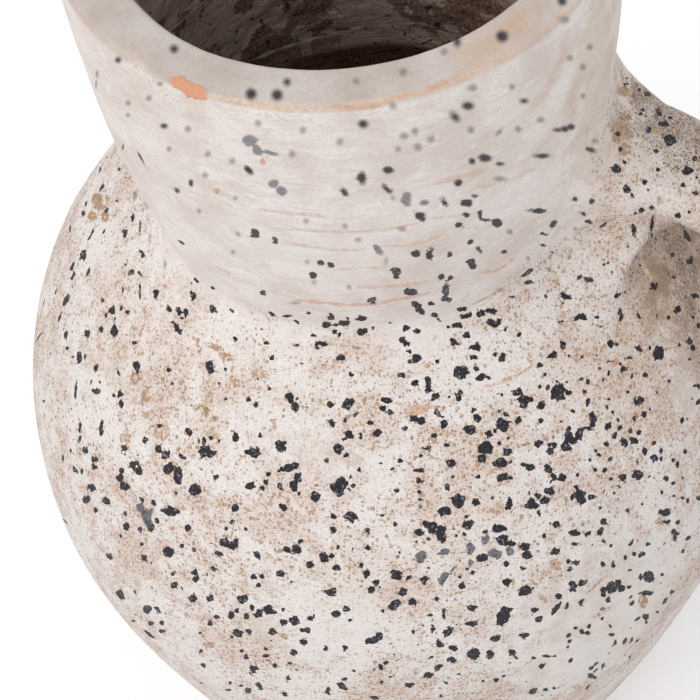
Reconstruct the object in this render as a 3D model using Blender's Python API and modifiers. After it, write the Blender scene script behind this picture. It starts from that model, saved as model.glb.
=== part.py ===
"""A hand-built terracotta jug with one strap handle, as the separate clay parts it is joined from.

Units are metres, +Z is up, and the foot's flat face is centred on the origin. The handle is on +X.
"""

import math

import bmesh
import bpy
from mathutils import Vector
from mathutils.geometry import interpolate_bezier

# Outer shape. Levels are heights above the ground.
HEIGHT = 0.451
BELLY_RADIUS = 0.150
BELLY_LEVEL = 0.188
FOOT_RADIUS = 0.094
FOOT_ROUNDING = 0.011
LOWER_BEND = 0.20
FOOT_TUCK = 0.009
FOOT_TUCK_POWER = 6.0
SHOULDER_RISE = 0.157
SHOULDER_POWER = 2.18
NECK_RADIUS = 0.0757
NECK_RISE = 0.1275
NECK_LEVEL = BELLY_LEVEL + NECK_RISE
NECK_SWELL = 0.0057
NECK_FILLET = 0.017
RIM_RADIUS = 0.0904

# Wall thicknesses.
BASE_THICKNESS = 0.014
BODY_WALL = 0.010
NECK_WALL = 0.0145
LIP_WIDTH = 0.0172
LIP_ROUNDING = 0.0025

# Levels of the joints between the clay parts, and the gap that keeps the solids apart.
BELLY_JOINT_RISE = 0.012
NECK_JOINT_RISE = 0.0205
LIP_DEPTH = 0.021
BELLY_JOINT = BELLY_LEVEL + BELLY_JOINT_RISE
NECK_JOINT = NECK_LEVEL + NECK_JOINT_RISE
LIP_JOINT = HEIGHT - LIP_DEPTH
SEAM = 0.0003

# Handle: its centre line leaves the neck, reaches out, turns down and comes back to the belly.
HANDLE_WIDTH = 0.0445
HANDLE_THICKNESS = 0.0195
HANDLE_TOP_RISE = 0.017
HANDLE_TOP_LEVEL = NECK_JOINT + HANDLE_TOP_RISE
HANDLE_TOP_FALL = math.radians(29.0)
HANDLE_TOP_RUN = 0.045
HANDLE_STANDOFF = 0.0165
HANDLE_REACH = BELLY_RADIUS + HANDLE_STANDOFF
HANDLE_OUTER_RISE = 0.087
HANDLE_OUTER_LEVEL = BELLY_LEVEL + HANDLE_OUTER_RISE
HANDLE_UPPER_TURN = 0.042
HANDLE_LOWER_TURN = 0.027
HANDLE_BOTTOM_RISE = 0.040
HANDLE_BOTTOM_LEVEL = BELLY_LEVEL + HANDLE_BOTTOM_RISE
HANDLE_BOTTOM_FALL = math.radians(42.0)
HANDLE_BOTTOM_RUN = 0.020
ROOT_DEPTH = 0.012
ROOT_SPREAD = 0.006

# Luting clay wiped round each end of the handle.
LUTING_LENGTH = 0.018
LUTING_SWELL = 0.0080
LUTING_EDGE = 0.0012

# Fineness of the meshes.
ROUND_STEPS = 64
OUTLINE_STEP = 0.001
OUTLINE_ERROR = 0.00025
SLOPE_STEP = 0.0003
MERGE_DISTANCE = 0.00001
ARC_STEPS = 4
STRAP_SIDES = 20
STRAP_STEPS = 12
LUTING_STEPS = 6
STRAP_SQUARENESS = 2.6

WHITEWASHED_CLAY = (0.78, 0.70, 0.65, 1.0)
HANDLE_CLAY = (0.70, 0.62, 0.57, 1.0)
LUTING_CLAY = (0.72, 0.63, 0.56, 1.0)
BASE_CLAY = (0.62, 0.46, 0.36, 1.0)


def clear_scene():
    for obj in list(bpy.data.objects):
        bpy.data.objects.remove(obj, do_unlink=True)


def new_collection(name):
    collection = bpy.data.collections.new(name)
    bpy.context.scene.collection.children.link(collection)
    return collection


def clay(name, colour, roughness):
    material = bpy.data.materials.new(name)
    material.use_nodes = True
    shader = material.node_tree.nodes["Principled BSDF"]
    shader.inputs["Base Color"].default_value = colour
    shader.inputs["Roughness"].default_value = roughness
    shader.inputs["Metallic"].default_value = 0.0
    return material


def lower_radius(level):
    """A hyperbola: round at the belly and nearly a straight cone below, tucked in at the foot."""
    depth = max(BELLY_LEVEL - level, 0.0) / BELLY_LEVEL
    drop = math.hypot(depth, LOWER_BEND) - LOWER_BEND
    full_drop = math.hypot(1.0, LOWER_BEND) - LOWER_BEND
    cone = BELLY_RADIUS - (BELLY_RADIUS - FOOT_RADIUS - FOOT_TUCK) * drop / full_drop
    return cone - FOOT_TUCK * depth**FOOT_TUCK_POWER


def shoulder_radius(level):
    rise = min(max(level - BELLY_LEVEL, 0.0) / SHOULDER_RISE, 1.0)
    return BELLY_RADIUS * math.sqrt(1.0 - rise**SHOULDER_POWER)


def neck_radius(level):
    """A slightly swelling cone from the neck's root to the rim."""
    along = (level - NECK_LEVEL) / (HEIGHT - NECK_LEVEL)
    return NECK_RADIUS + (RIM_RADIUS - NECK_RADIUS) * along + NECK_SWELL * 4 * along * (1 - along)


def outer_radius(level):
    """The whole outer wall, with a soft fillet where the shoulder meets the neck."""
    if level < BELLY_LEVEL:
        return lower_radius(level)
    shoulder = shoulder_radius(level)
    neck = neck_radius(level)
    blend = max(NECK_FILLET - abs(shoulder - neck), 0.0) / NECK_FILLET
    return max(shoulder, neck) + NECK_FILLET * blend * blend / 4


def wall_thickness(level):
    """The belly's wall up to the shoulder, thickening smoothly into the neck's wall."""
    start = (BELLY_JOINT + NECK_JOINT) / 2
    along = min(max((level - start) / (NECK_JOINT - start), 0.0), 1.0)
    return BODY_WALL + (NECK_WALL - BODY_WALL) * along


def inner_radius(level):
    below = outer_radius(level - SLOPE_STEP)
    above = outer_radius(level + SLOPE_STEP)
    slope = (above - below) / (2 * SLOPE_STEP)
    return outer_radius(level) - wall_thickness(level) * math.hypot(1.0, slope)


def levels_down(top, bottom):
    """Only the levels that the outline needs: straight stretches between them stay on the wall."""
    count = max(2, math.ceil((top - bottom) / OUTLINE_STEP))
    fine = [top + (bottom - top) * i / count for i in range(count + 1)]
    kept = [0]
    for end in range(2, count + 1):
        start = kept[-1]
        for i in range(start + 1, end):
            share = (i - start) / (end - start)
            chord = outer_radius(fine[start]) * (1 - share) + outer_radius(fine[end]) * share
            if abs(chord - outer_radius(fine[i])) > OUTLINE_ERROR:
                kept.append(end - 1)
                break
    kept.append(count)
    return [fine[i] for i in kept]


def corner_arc(centre_radius, centre_level, radius, start_degrees, end_degrees):
    points = []
    for i in range(ARC_STEPS + 1):
        angle = math.radians(start_degrees + (end_degrees - start_degrees) * i / ARC_STEPS)
        points.append(
            (centre_radius + radius * math.cos(angle), centre_level + radius * math.sin(angle))
        )
    return points


def turned(name, profile, collection, closed):
    """Turn a profile of (radius, level) points round +Z. It runs down its outer side."""
    mesh = bpy.data.meshes.new(name)
    count = len(profile)
    edges = [(i, (i + 1) % count) for i in range(count if closed else count - 1)]
    mesh.from_pydata([(radius, 0.0, level) for radius, level in profile], edges, [])
    obj = bpy.data.objects.new(name, mesh)
    collection.objects.link(obj)
    screw = obj.modifiers.new("Turn", "SCREW")
    screw.axis = "Z"
    screw.angle = math.tau
    screw.steps = ROUND_STEPS
    screw.render_steps = ROUND_STEPS
    screw.use_smooth_shade = True
    screw.use_merge_vertices = True
    screw.merge_threshold = MERGE_DISTANCE
    return obj


def wall_ring(name, top, bottom, collection):
    """One thrown ring of the wall, cut level at its top and its bottom."""
    levels = levels_down(top, bottom)
    outside = [(outer_radius(level), level) for level in levels]
    inside = [(inner_radius(level), level) for level in reversed(levels)]
    return turned(name, outside + inside, collection, closed=True)


def foot_slab(collection):
    """The flat disc that the walls stand on, with a rounded lower edge."""
    top = BASE_THICKNESS
    edge = lower_radius(FOOT_ROUNDING)
    rounding = corner_arc(edge - FOOT_ROUNDING, FOOT_ROUNDING, FOOT_ROUNDING, 0.0, -90.0)
    profile = [(0.0, top), (lower_radius(top), top)] + rounding + [(0.0, 0.0)]
    return turned("foot_slab", profile, collection, closed=False)


def lip(collection):
    """The thick rolled rim, rounded at its two upper corners."""
    bottom = LIP_JOINT + SEAM
    outer_corner = corner_arc(
        RIM_RADIUS - LIP_ROUNDING, HEIGHT - LIP_ROUNDING, LIP_ROUNDING, 90.0, 0.0
    )
    inner_edge = RIM_RADIUS - LIP_WIDTH
    inner_corner = corner_arc(
        inner_edge + LIP_ROUNDING, HEIGHT - LIP_ROUNDING, LIP_ROUNDING, 180.0, 90.0
    )
    outside = [(outer_radius(bottom), bottom)]
    inside = [(inner_radius(bottom), bottom)]
    return turned("lip", outer_corner + outside + inside + inner_corner, collection, closed=True)


def jug_envelope(collection):
    """A cutter: the outer wall, one seam's width larger, as one closed turned shape."""
    walls = []
    for joint_top, joint_bottom in (
        (HEIGHT, LIP_JOINT),
        (LIP_JOINT, NECK_JOINT),
        (NECK_JOINT, BELLY_JOINT),
        (BELLY_JOINT, BASE_THICKNESS),
        (BASE_THICKNESS, 0.0),
    ):
        levels = levels_down(joint_top, joint_bottom)
        walls += [(outer_radius(level) + SEAM, level) for level in levels[:-1]]
    profile = [(0.0, HEIGHT)] + walls + [(outer_radius(0.0) + SEAM, 0.0), (0.0, 0.0)]
    cutter = turned("jug_envelope", profile, collection, closed=False)
    return as_cutter(cutter)


def as_cutter(obj):
    obj.hide_render = True
    obj.display_type = "WIRE"
    return obj


def handle_path():
    """Points of the handle's centre line in the XZ plane, from the neck down to the belly."""
    fall = Vector((math.cos(HANDLE_TOP_FALL), 0.0, -math.sin(HANDLE_TOP_FALL)))
    back = Vector((-math.cos(HANDLE_BOTTOM_FALL), 0.0, -math.sin(HANDLE_BOTTOM_FALL)))
    neck_face = Vector((outer_radius(HANDLE_TOP_LEVEL), 0.0, HANDLE_TOP_LEVEL))
    belly_face = Vector((outer_radius(HANDLE_BOTTOM_LEVEL), 0.0, HANDLE_BOTTOM_LEVEL))
    top = neck_face - fall * ROOT_DEPTH
    bottom = belly_face + back * ROOT_DEPTH
    outer = Vector((HANDLE_REACH, 0.0, HANDLE_OUTER_LEVEL))
    upper = interpolate_bezier(
        top,
        top + fall * HANDLE_TOP_RUN,
        outer + Vector((0.0, 0.0, HANDLE_UPPER_TURN)),
        outer,
        STRAP_STEPS + 1,
    )
    lower = interpolate_bezier(
        outer,
        outer - Vector((0.0, 0.0, HANDLE_LOWER_TURN)),
        bottom - back * HANDLE_BOTTOM_RUN,
        bottom,
        STRAP_STEPS,
    )
    return upper + lower[1:]


def path_lengths(path):
    lengths = [0.0]
    for before, after in zip(path, path[1:]):
        lengths.append(lengths[-1] + (after - before).length)
    return lengths


def strap_section(half_width, half_thickness):
    """A flattened oval, as (across, out) pairs."""
    power = 2.0 / STRAP_SQUARENESS
    section = []
    for i in range(STRAP_SIDES):
        angle = math.tau * i / STRAP_SIDES
        across = math.copysign(abs(math.cos(angle)) ** power, math.cos(angle))
        out = math.copysign(abs(math.sin(angle)) ** power, math.sin(angle))
        section.append((half_width * across, half_thickness * out))
    return section


def strap(name, path, sizes, collection):
    """A loft along a path in the XZ plane. Each size is a (half width, half thickness) pair."""
    shape = bmesh.new()
    rings = []
    for i, point in enumerate(path):
        tangent = (path[min(i + 1, len(path) - 1)] - path[max(i - 1, 0)]).normalized()
        outward = Vector((-tangent.z, 0.0, tangent.x))
        ring = []
        for across, out in strap_section(*sizes[i]):
            ring.append(shape.verts.new(point + Vector((0.0, across, 0.0)) + outward * out))
        rings.append(ring)
    for near, far in zip(rings, rings[1:]):
        for i in range(STRAP_SIDES):
            j = (i + 1) % STRAP_SIDES
            shape.faces.new((near[i], near[j], far[j], far[i]))
    shape.faces.new(list(reversed(rings[0])))
    shape.faces.new(rings[-1])
    bmesh.ops.recalc_face_normals(shape, faces=shape.faces)
    mesh = bpy.data.meshes.new(name)
    shape.to_mesh(mesh)
    shape.free()
    obj = bpy.data.objects.new(name, mesh)
    collection.objects.link(obj)
    return obj


def root_spread(distance):
    """How far the strap itself widens at this distance from its cut end."""
    reach = ROOT_DEPTH + LUTING_LENGTH
    along = min(max(distance / reach, 0.0), 1.0)
    return ROOT_SPREAD * (1.0 - along) ** 2


def strap_sizes(path, extra=0.0):
    lengths = path_lengths(path)
    sizes = []
    for length in lengths:
        spread = root_spread(length) + root_spread(lengths[-1] - length)
        sizes.append((HANDLE_WIDTH / 2 + spread + extra, HANDLE_THICKNESS / 2 + extra))
    return sizes


def luting_strap(name, path, collection):
    """The clay wiped round the strap's first stretch, thick at the wall and thin at its end."""
    reach = ROOT_DEPTH + LUTING_LENGTH
    points = []
    sizes = []
    for i in range(LUTING_STEPS + 1):
        distance = reach * i / LUTING_STEPS
        points.append(point_along(path, distance))
        swell = LUTING_EDGE + (LUTING_SWELL - LUTING_EDGE) * (1.0 - i / LUTING_STEPS) ** 2
        half_width = HANDLE_WIDTH / 2 + root_spread(distance)
        sizes.append((half_width + SEAM + swell, HANDLE_THICKNESS / 2 + SEAM + swell))
    return strap(name, points, sizes, collection)


def handle_room_strap(path, collection):
    """A cutter: the handle, one seam's width larger and run on past both of its ends."""
    start = path[0] + (path[0] - path[1]).normalized() * ROOT_DEPTH
    end = path[-1] + (path[-1] - path[-2]).normalized() * ROOT_DEPTH
    sizes = strap_sizes(path, SEAM)
    return strap("handle_room", [start] + path + [end], sizes[:1] + sizes + sizes[-1:], collection)


def point_along(path, distance):
    lengths = path_lengths(path)
    for i in range(1, len(path)):
        if distance <= lengths[i]:
            share = (distance - lengths[i - 1]) / (lengths[i] - lengths[i - 1])
            return path[i - 1].lerp(path[i], share)
    return path[-1].copy()


def cut(obj, cutter):
    boolean = obj.modifiers.new("Cut " + cutter.name, "BOOLEAN")
    boolean.operation = "DIFFERENCE"
    boolean.solver = "EXACT"
    boolean.object = cutter


def finish(obj, material):
    obj.data.materials.append(material)
    obj.data.shade_smooth()


def build():
    clear_scene()
    jug = new_collection("terracotta_jug")
    cutters = new_collection("cutters")

    finish(foot_slab(jug), clay("foot clay", BASE_CLAY, 0.95))
    lower = wall_ring("lower_belly", BELLY_JOINT - SEAM, BASE_THICKNESS + SEAM, jug)
    finish(lower, clay("lower belly clay", WHITEWASHED_CLAY, 0.92))
    upper = wall_ring("upper_belly", NECK_JOINT - SEAM, BELLY_JOINT, jug)
    finish(upper, clay("upper belly clay", WHITEWASHED_CLAY, 0.92))
    neck = wall_ring("neck", LIP_JOINT, NECK_JOINT, jug)
    finish(neck, clay("neck clay", WHITEWASHED_CLAY, 0.90))
    finish(lip(jug), clay("lip clay", WHITEWASHED_CLAY, 0.90))

    envelope = jug_envelope(cutters)
    path = handle_path()
    handle = strap("handle", path, strap_sizes(path), jug)
    cut(handle, envelope)
    finish(handle, clay("handle clay", HANDLE_CLAY, 0.92))

    handle_room = as_cutter(handle_room_strap(path, cutters))
    top_luting = luting_strap("handle_top_luting", path, jug)
    bottom_luting = luting_strap("handle_bottom_luting", path[::-1], jug)
    for luting, material_name in (
        (top_luting, "top luting clay"),
        (bottom_luting, "bottom luting clay"),
    ):
        cut(luting, envelope)
        cut(luting, handle_room)
        finish(luting, clay(material_name, LUTING_CLAY, 0.95))


build()
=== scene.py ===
"""The looks of a terracotta jug: whitewashed, sandy below, brushed on the neck, with black spatter.

Units are metres, +Z is up, the foot's centre is the origin and the handle is on +X, as in part.py.
"""

import math

import bpy
import numpy as np
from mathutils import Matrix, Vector
from mathutils.bvhtree import BVHTree
from mathutils.kdtree import KDTree

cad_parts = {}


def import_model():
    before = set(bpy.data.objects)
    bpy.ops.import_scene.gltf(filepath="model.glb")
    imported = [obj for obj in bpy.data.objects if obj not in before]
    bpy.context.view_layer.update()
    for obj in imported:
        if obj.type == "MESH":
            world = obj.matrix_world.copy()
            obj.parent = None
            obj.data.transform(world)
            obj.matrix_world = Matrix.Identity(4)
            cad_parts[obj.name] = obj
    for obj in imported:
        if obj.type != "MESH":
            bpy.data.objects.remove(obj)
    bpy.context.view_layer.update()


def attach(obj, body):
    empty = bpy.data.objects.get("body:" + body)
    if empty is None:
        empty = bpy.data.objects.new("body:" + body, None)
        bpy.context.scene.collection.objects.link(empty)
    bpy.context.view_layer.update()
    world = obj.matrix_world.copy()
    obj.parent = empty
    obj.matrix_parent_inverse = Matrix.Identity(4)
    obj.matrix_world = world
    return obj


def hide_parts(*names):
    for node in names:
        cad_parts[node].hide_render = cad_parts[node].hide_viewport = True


MM = 0.001

# Sizes repeated from part.py.
HEIGHT = 0.451
BELLY_RADIUS = 0.150
BELLY_LEVEL = 0.188
FOOT_RADIUS = 0.094
FOOT_ROUNDING = 0.011
LOWER_BEND = 0.20
FOOT_TUCK = 0.009
FOOT_TUCK_POWER = 6.0
SHOULDER_RISE = 0.157
SHOULDER_POWER = 2.18
NECK_RADIUS = 0.0757
NECK_RISE = 0.1275
NECK_LEVEL = BELLY_LEVEL + NECK_RISE
NECK_SWELL = 0.0057
NECK_FILLET = 0.017
RIM_RADIUS = 0.0904
BASE_THICKNESS = 0.014
BODY_WALL = 0.010
NECK_WALL = 0.0145
LIP_WIDTH = 0.0172
BELLY_JOINT_RISE = 0.012
NECK_JOINT_RISE = 0.0205
LIP_DEPTH = 0.021
BELLY_JOINT = BELLY_LEVEL + BELLY_JOINT_RISE
NECK_JOINT = NECK_LEVEL + NECK_JOINT_RISE
LIP_JOINT = HEIGHT - LIP_DEPTH
HANDLE_WIDTH = 0.0445
HANDLE_THICKNESS = 0.0195
HANDLE_TOP_RISE = 0.017
HANDLE_TOP_LEVEL = NECK_JOINT + HANDLE_TOP_RISE
HANDLE_TOP_FALL = math.radians(29.0)
HANDLE_TOP_RUN = 0.045
HANDLE_STANDOFF = 0.0165
HANDLE_REACH = BELLY_RADIUS + HANDLE_STANDOFF
HANDLE_OUTER_RISE = 0.087
HANDLE_OUTER_LEVEL = BELLY_LEVEL + HANDLE_OUTER_RISE
HANDLE_UPPER_TURN = 0.042
HANDLE_LOWER_TURN = 0.027
HANDLE_BOTTOM_RISE = 0.040
HANDLE_BOTTOM_LEVEL = BELLY_LEVEL + HANDLE_BOTTOM_RISE
HANDLE_BOTTOM_FALL = math.radians(42.0)
HANDLE_BOTTOM_RUN = 0.020
ROOT_DEPTH = 0.012
ROOT_SPREAD = 0.006
LUTING_LENGTH = 0.018
STRAP_SQUARENESS = 2.6

# Fineness of the visible meshes.
COLUMNS = 600
BELLY_STEP = 1.8 * MM
NECK_STEP = 1.2 * MM
LIP_STEP = 1.0 * MM
HIDDEN_STEP = 7.0 * MM
STRAP_SIDES = 112
STRAP_STEP = 1.2 * MM
FILLET_STEPS = 24
BURIED_STEPS = 8
ARC_POINTS = 12
WALL_SAMPLES = 1500
STRAP_SAMPLES = 200

# How deep the fillets' edges, their hidden undersides and the strap's ends lie in the wall.
EDGE_SINK = 0.25 * MM
BURIED_DEPTH = 3.0 * MM
STRAP_SINK = 5 * MM

# The fillets at the strap's roots: how far they run along the strap and along the wall, in millimetres,
# and how full they are, each at eight places round the strap, as in round_strap.
TOP_FILLET = (
    (28, 28, 28, 32, 37, 39, 25, 22),
    (18, 19, 20, 26, 33, 50, 28, 18),
    (0.25, 0.25, 0.15, 0.1, 0.28, 0.6, 0.43, 0.3),
)
BOTTOM_FILLET = (
    (13, 14, 15, 14, 13, 11, 8, 11),
    (11, 12, 13, 12, 11, 9, 7, 9),
    (0.1,) * 8,
)

# The rim's edges, how many degrees each turns, and how far the top between them is domed.
RIM_ROUNDING = 2.5 * MM
RIM_TURN = 78
RIM_DOME = 0.6 * MM

# The foot's underside and the floor inside stop this far from the axis, and a fan closes each.
HUB_RADIUS = 4 * MM

# The visible wall lies this far inside the solid, and no lump comes nearer than this to its box.
SKIN_DEPTH = 0.45 * MM
BOX_MARGIN = 0.3 * MM

# Levels between which the sandy wash gives way to the brushed one. On the mesh it takes SMOOTH_BLEND,
# from a start that wanders up and down in lumps of this size.
SMOOTH_START = 0.314
SMOOTH_END = 0.338
SMOOTH_BLEND = 20 * MM
SMOOTH_WANDER, SMOOTH_LUMPS = 9 * MM, 30 * MM

# How far the visible wall rises and falls, and the size of each kind of lump.
SLOW_RELIEF, SLOW_LUMPS = 0.35 * MM, 70 * MM
HAND_RELIEF, HAND_LUMPS = 0.20 * MM, 26 * MM
SAND_RELIEF, SAND_LUMPS = 0.12 * MM, 9 * MM
INSIDE_RELIEF, INSIDE_LUMPS = 0.70 * MM, 22 * MM
SCRAPED_RELIEF, SCRAPED_LUMPS = 0.35 * MM, 7 * MM

# The throwing rings that the photograph shows on the neck: their levels, each groove's depth and half
# width, and how far and in what lumps a groove wanders.
RING_LEVELS = (0.394, 0.384, 0.373, 0.361, 0.349)
RING_DEPTH = 0.30 * MM
RING_HALF_WIDTH = 1.6 * MM
RING_WANDER, RING_LUMPS = 1.2 * MM, 45 * MM

# The lip's flare on the side away from the handle, and the levels over which it sets in.
LIP_FLARE = 2.2 * MM
FLARE_START = 0.408
FLARE_END = 0.446

# Spatter where the photograph doesn't show the jug.
SPOTS_PER_SQUARE_METRE = 11000
LARGEST_DOT = 3.0 * MM
FINEST_DOTS = 0.55 * MM
SPATTER_SEED = 41

# Half the width of a sharp spot's edge.
SHARP_EDGE = 0.14 * MM

# Light.
AMBIENT = 0.72
KEY = 1.15
KEY_DIRECTION = (-0.38, -0.58, 0.86)
KEY_SOFTNESS = math.radians(50.0)
FLOOR_SIZE = 30.0
FLOOR_GLOW = 0.25

# Above the focus row the photograph blurs, over so many rows. Half the width of a spot's edge in focus,
# and how much it grows in the blur, are in millimetres.
FOCUS_ROW = 270
BLUR_ROWS = 150
FOCUS_EDGE = 0.2
BLUR_GROWTH = 0.85

# Camera, fitted to the photograph's outlines.
FRAME_PIXELS = 700
FOCAL_PIXELS = 2000
CAMERA_PLACE = Vector((0.13641, -0.47573, 0.86918))
CAMERA_DEGREES = (36.8133, 5.1564, 11.1124)


def from_axis(points):
    return np.hypot(points[..., 0], points[..., 1])


def unit(vectors):
    return vectors / np.linalg.norm(vectors, axis=-1, keepdims=True)


def outer_radius(level):
    """The outer wall's radius at each level, as in part.py."""
    level = np.asarray(level, float)
    depth = np.clip((BELLY_LEVEL - level) / BELLY_LEVEL, 0, 1)
    drop = (np.hypot(depth, LOWER_BEND) - LOWER_BEND) / (math.hypot(1, LOWER_BEND) - LOWER_BEND)
    lower = BELLY_RADIUS - (BELLY_RADIUS - FOOT_RADIUS - FOOT_TUCK) * drop
    lower = lower - FOOT_TUCK * depth**FOOT_TUCK_POWER
    rise = np.clip((level - BELLY_LEVEL) / SHOULDER_RISE, 0, 1)
    shoulder = BELLY_RADIUS * np.sqrt(1 - rise**SHOULDER_POWER)
    along = (level - NECK_LEVEL) / (HEIGHT - NECK_LEVEL)
    neck = NECK_RADIUS + (RIM_RADIUS - NECK_RADIUS) * along + NECK_SWELL * 4 * along * (1 - along)
    blend = np.clip(NECK_FILLET - np.abs(shoulder - neck), 0, None) / NECK_FILLET
    upper = np.maximum(shoulder, neck) + NECK_FILLET * blend**2 / 4
    return np.where(level < BELLY_LEVEL, lower, upper)


def wall_slope(level):
    step = 0.3 * MM
    return (outer_radius(level + step) - outer_radius(level - step)) / (2 * step)


def inner_radius(level):
    start = (BELLY_JOINT + NECK_JOINT) / 2
    along = np.clip((level - start) / (NECK_JOINT - start), 0, 1)
    thickness = BODY_WALL + (NECK_WALL - BODY_WALL) * along
    return outer_radius(level) - thickness * np.hypot(1, wall_slope(level))


def even_points(points, step):
    """The same outline, as (radius, level) points at even steps."""
    points = np.asarray(points, float)
    lengths = np.concatenate([[0], np.cumsum(np.hypot(*np.diff(points, axis=0).T))])
    count = max(2, round(lengths[-1] / step))
    stations = np.linspace(0, lengths[-1], count + 1)
    return np.stack([np.interp(stations, lengths, points[:, i]) for i in (0, 1)], axis=1)


def wall_points(radius_of, start, end, step):
    levels = np.linspace(start, end, WALL_SAMPLES)
    return even_points(np.stack([radius_of(levels), levels], axis=1), step)


def arc(centre, radius, start_degrees, end_degrees):
    angles = np.radians(np.linspace(start_degrees, end_degrees, ARC_POINTS))
    return [(centre[0] + radius * math.cos(a), centre[1] + radius * math.sin(a)) for a in angles]


def lip_points():
    """Up the rim's outer side, over its slightly domed top and down its inner side."""
    top = HEIGHT - RIM_ROUNDING - RIM_DOME
    inner_edge = RIM_RADIUS - LIP_WIDTH
    outside = [(float(outer_radius(level)), level) for level in np.linspace(LIP_JOINT, top, 8)[:-1]]
    over = arc((RIM_RADIUS - RIM_ROUNDING, top), RIM_ROUNDING, 0, RIM_TURN)
    over += [((RIM_RADIUS + inner_edge) / 2, HEIGHT)]
    over += arc((inner_edge + RIM_ROUNDING, top), RIM_ROUNDING, 180 - RIM_TURN, 180)
    levels = np.linspace(top - 3 * RIM_ROUNDING, LIP_JOINT, 4)
    inside = [(float(inner_radius(level)), level) for level in levels]
    return even_points(outside + over + inside, LIP_STEP)


def foot_points():
    """From near the centre of the flat foot out and up round its edge to the first joint."""
    edge = float(outer_radius(FOOT_ROUNDING))
    flat = [(radius, 0.0) for radius in np.linspace(HUB_RADIUS, edge - FOOT_ROUNDING, 10)[:-1]]
    rounding = arc((edge - FOOT_ROUNDING, FOOT_ROUNDING), FOOT_ROUNDING, -90, 0)
    return np.array(flat + rounding + [(float(outer_radius(BASE_THICKNESS)), BASE_THICKNESS)])


def floor_points():
    start = float(inner_radius(BASE_THICKNESS))
    return np.array([(radius, BASE_THICKNESS) for radius in np.linspace(start, HUB_RADIUS, 12)])


def value_noise(points, size, seed):
    """Smooth repeatable noise from -1 to 1, in lumps of about this size."""
    place = points / size + 37.0 * seed
    cell = np.floor(place).astype(np.int64)
    part = place - cell
    part = part * part * part * (part * (part * 6 - 15) + 10)
    total = np.zeros(points.shape[:-1])
    for corner in np.ndindex(2, 2, 2):
        at = cell + corner
        mixed = (at[..., 0] * 73856093) ^ (at[..., 1] * 19349663) ^ (at[..., 2] * 83492791)
        mixed = (mixed ^ (mixed >> 13)) * 1274126177 & 0xFFFFFFFF
        mixed = (mixed ^ (mixed >> 15)) * 2246822519 & 0xFFFFFFFF
        weight = np.prod(np.where(corner, part, 1 - part), axis=-1)
        total += weight * ((mixed >> 8 & 0xFFFF) / 32767.5 - 1)
    return total


def fractal(points, size, seed, octaves=3):
    total = 0
    for octave in range(octaves):
        total = total + value_noise(points, size / 2**octave, seed + octave) / 2**octave
    return total


def bump_step(value, low, high):
    part = np.clip((value - low) / (high - low), 0, 1)
    return part * part * (3 - 2 * part)


def smooth_share(points):
    """1 where the wash was brushed on smoothly: the neck and the lip. 0 on the sandy belly."""
    wander = SMOOTH_WANDER * value_noise(points, SMOOTH_LUMPS, 5)
    return bump_step(points[..., 2] + wander, SMOOTH_START, SMOOTH_START + SMOOTH_BLEND)


def lip_flare(points):
    """The lip stands out a little further on the side away from the handle."""
    toward = np.clip(-points[..., 0] / from_axis(points), 0, 1)
    return LIP_FLARE * toward**4 * bump_step(points[..., 2], FLARE_START, FLARE_END)


def relief(points, inside=0.0):
    """How far the surface stands out from the solid's: lumps, hand marks, sand, rings and the lip's flare."""
    flattened = points * (1.0, 1.0, 3.5)
    thrown = INSIDE_RELIEF * value_noise(flattened, INSIDE_LUMPS, 31)
    scraped = SCRAPED_RELIEF * value_noise(flattened, SCRAPED_LUMPS, 32)
    height = SLOW_RELIEF * value_noise(points, SLOW_LUMPS, 1) + inside * (thrown + scraped)
    height = height + HAND_RELIEF * value_noise(points, HAND_LUMPS, 2)
    height = height + (1 - 0.6 * smooth_share(points)) * SAND_RELIEF * fractal(points, SAND_LUMPS, 3)
    level = points[..., 2] + RING_WANDER * value_noise(points, RING_LUMPS, 11)
    for k, ring in enumerate(RING_LEVELS):
        groove = np.exp(-(((level - ring) / RING_HALF_WIDTH) ** 2))
        share = 0.6 + 0.4 * value_noise(points, 40 * MM, 20 + k)
        height = height - RING_DEPTH * groove * share
    return height + lip_flare(points) - SKIN_DEPTH


def turned_grid(points, columns):
    angles = np.linspace(0, math.tau, columns, endpoint=False)
    radius = points[:, 0][:, None]
    level = np.repeat(points[:, 1][:, None], columns, axis=1)
    return np.stack([radius * np.cos(angles), radius * np.sin(angles), level], axis=-1)


def grid_normals(grid):
    """Outward normals of a grid of rows that run round the jug."""
    round_step = np.roll(grid, -1, axis=1) - np.roll(grid, 1, axis=1)
    up_step = np.gradient(grid, axis=0)
    return unit(np.cross(round_step, up_step))


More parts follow.
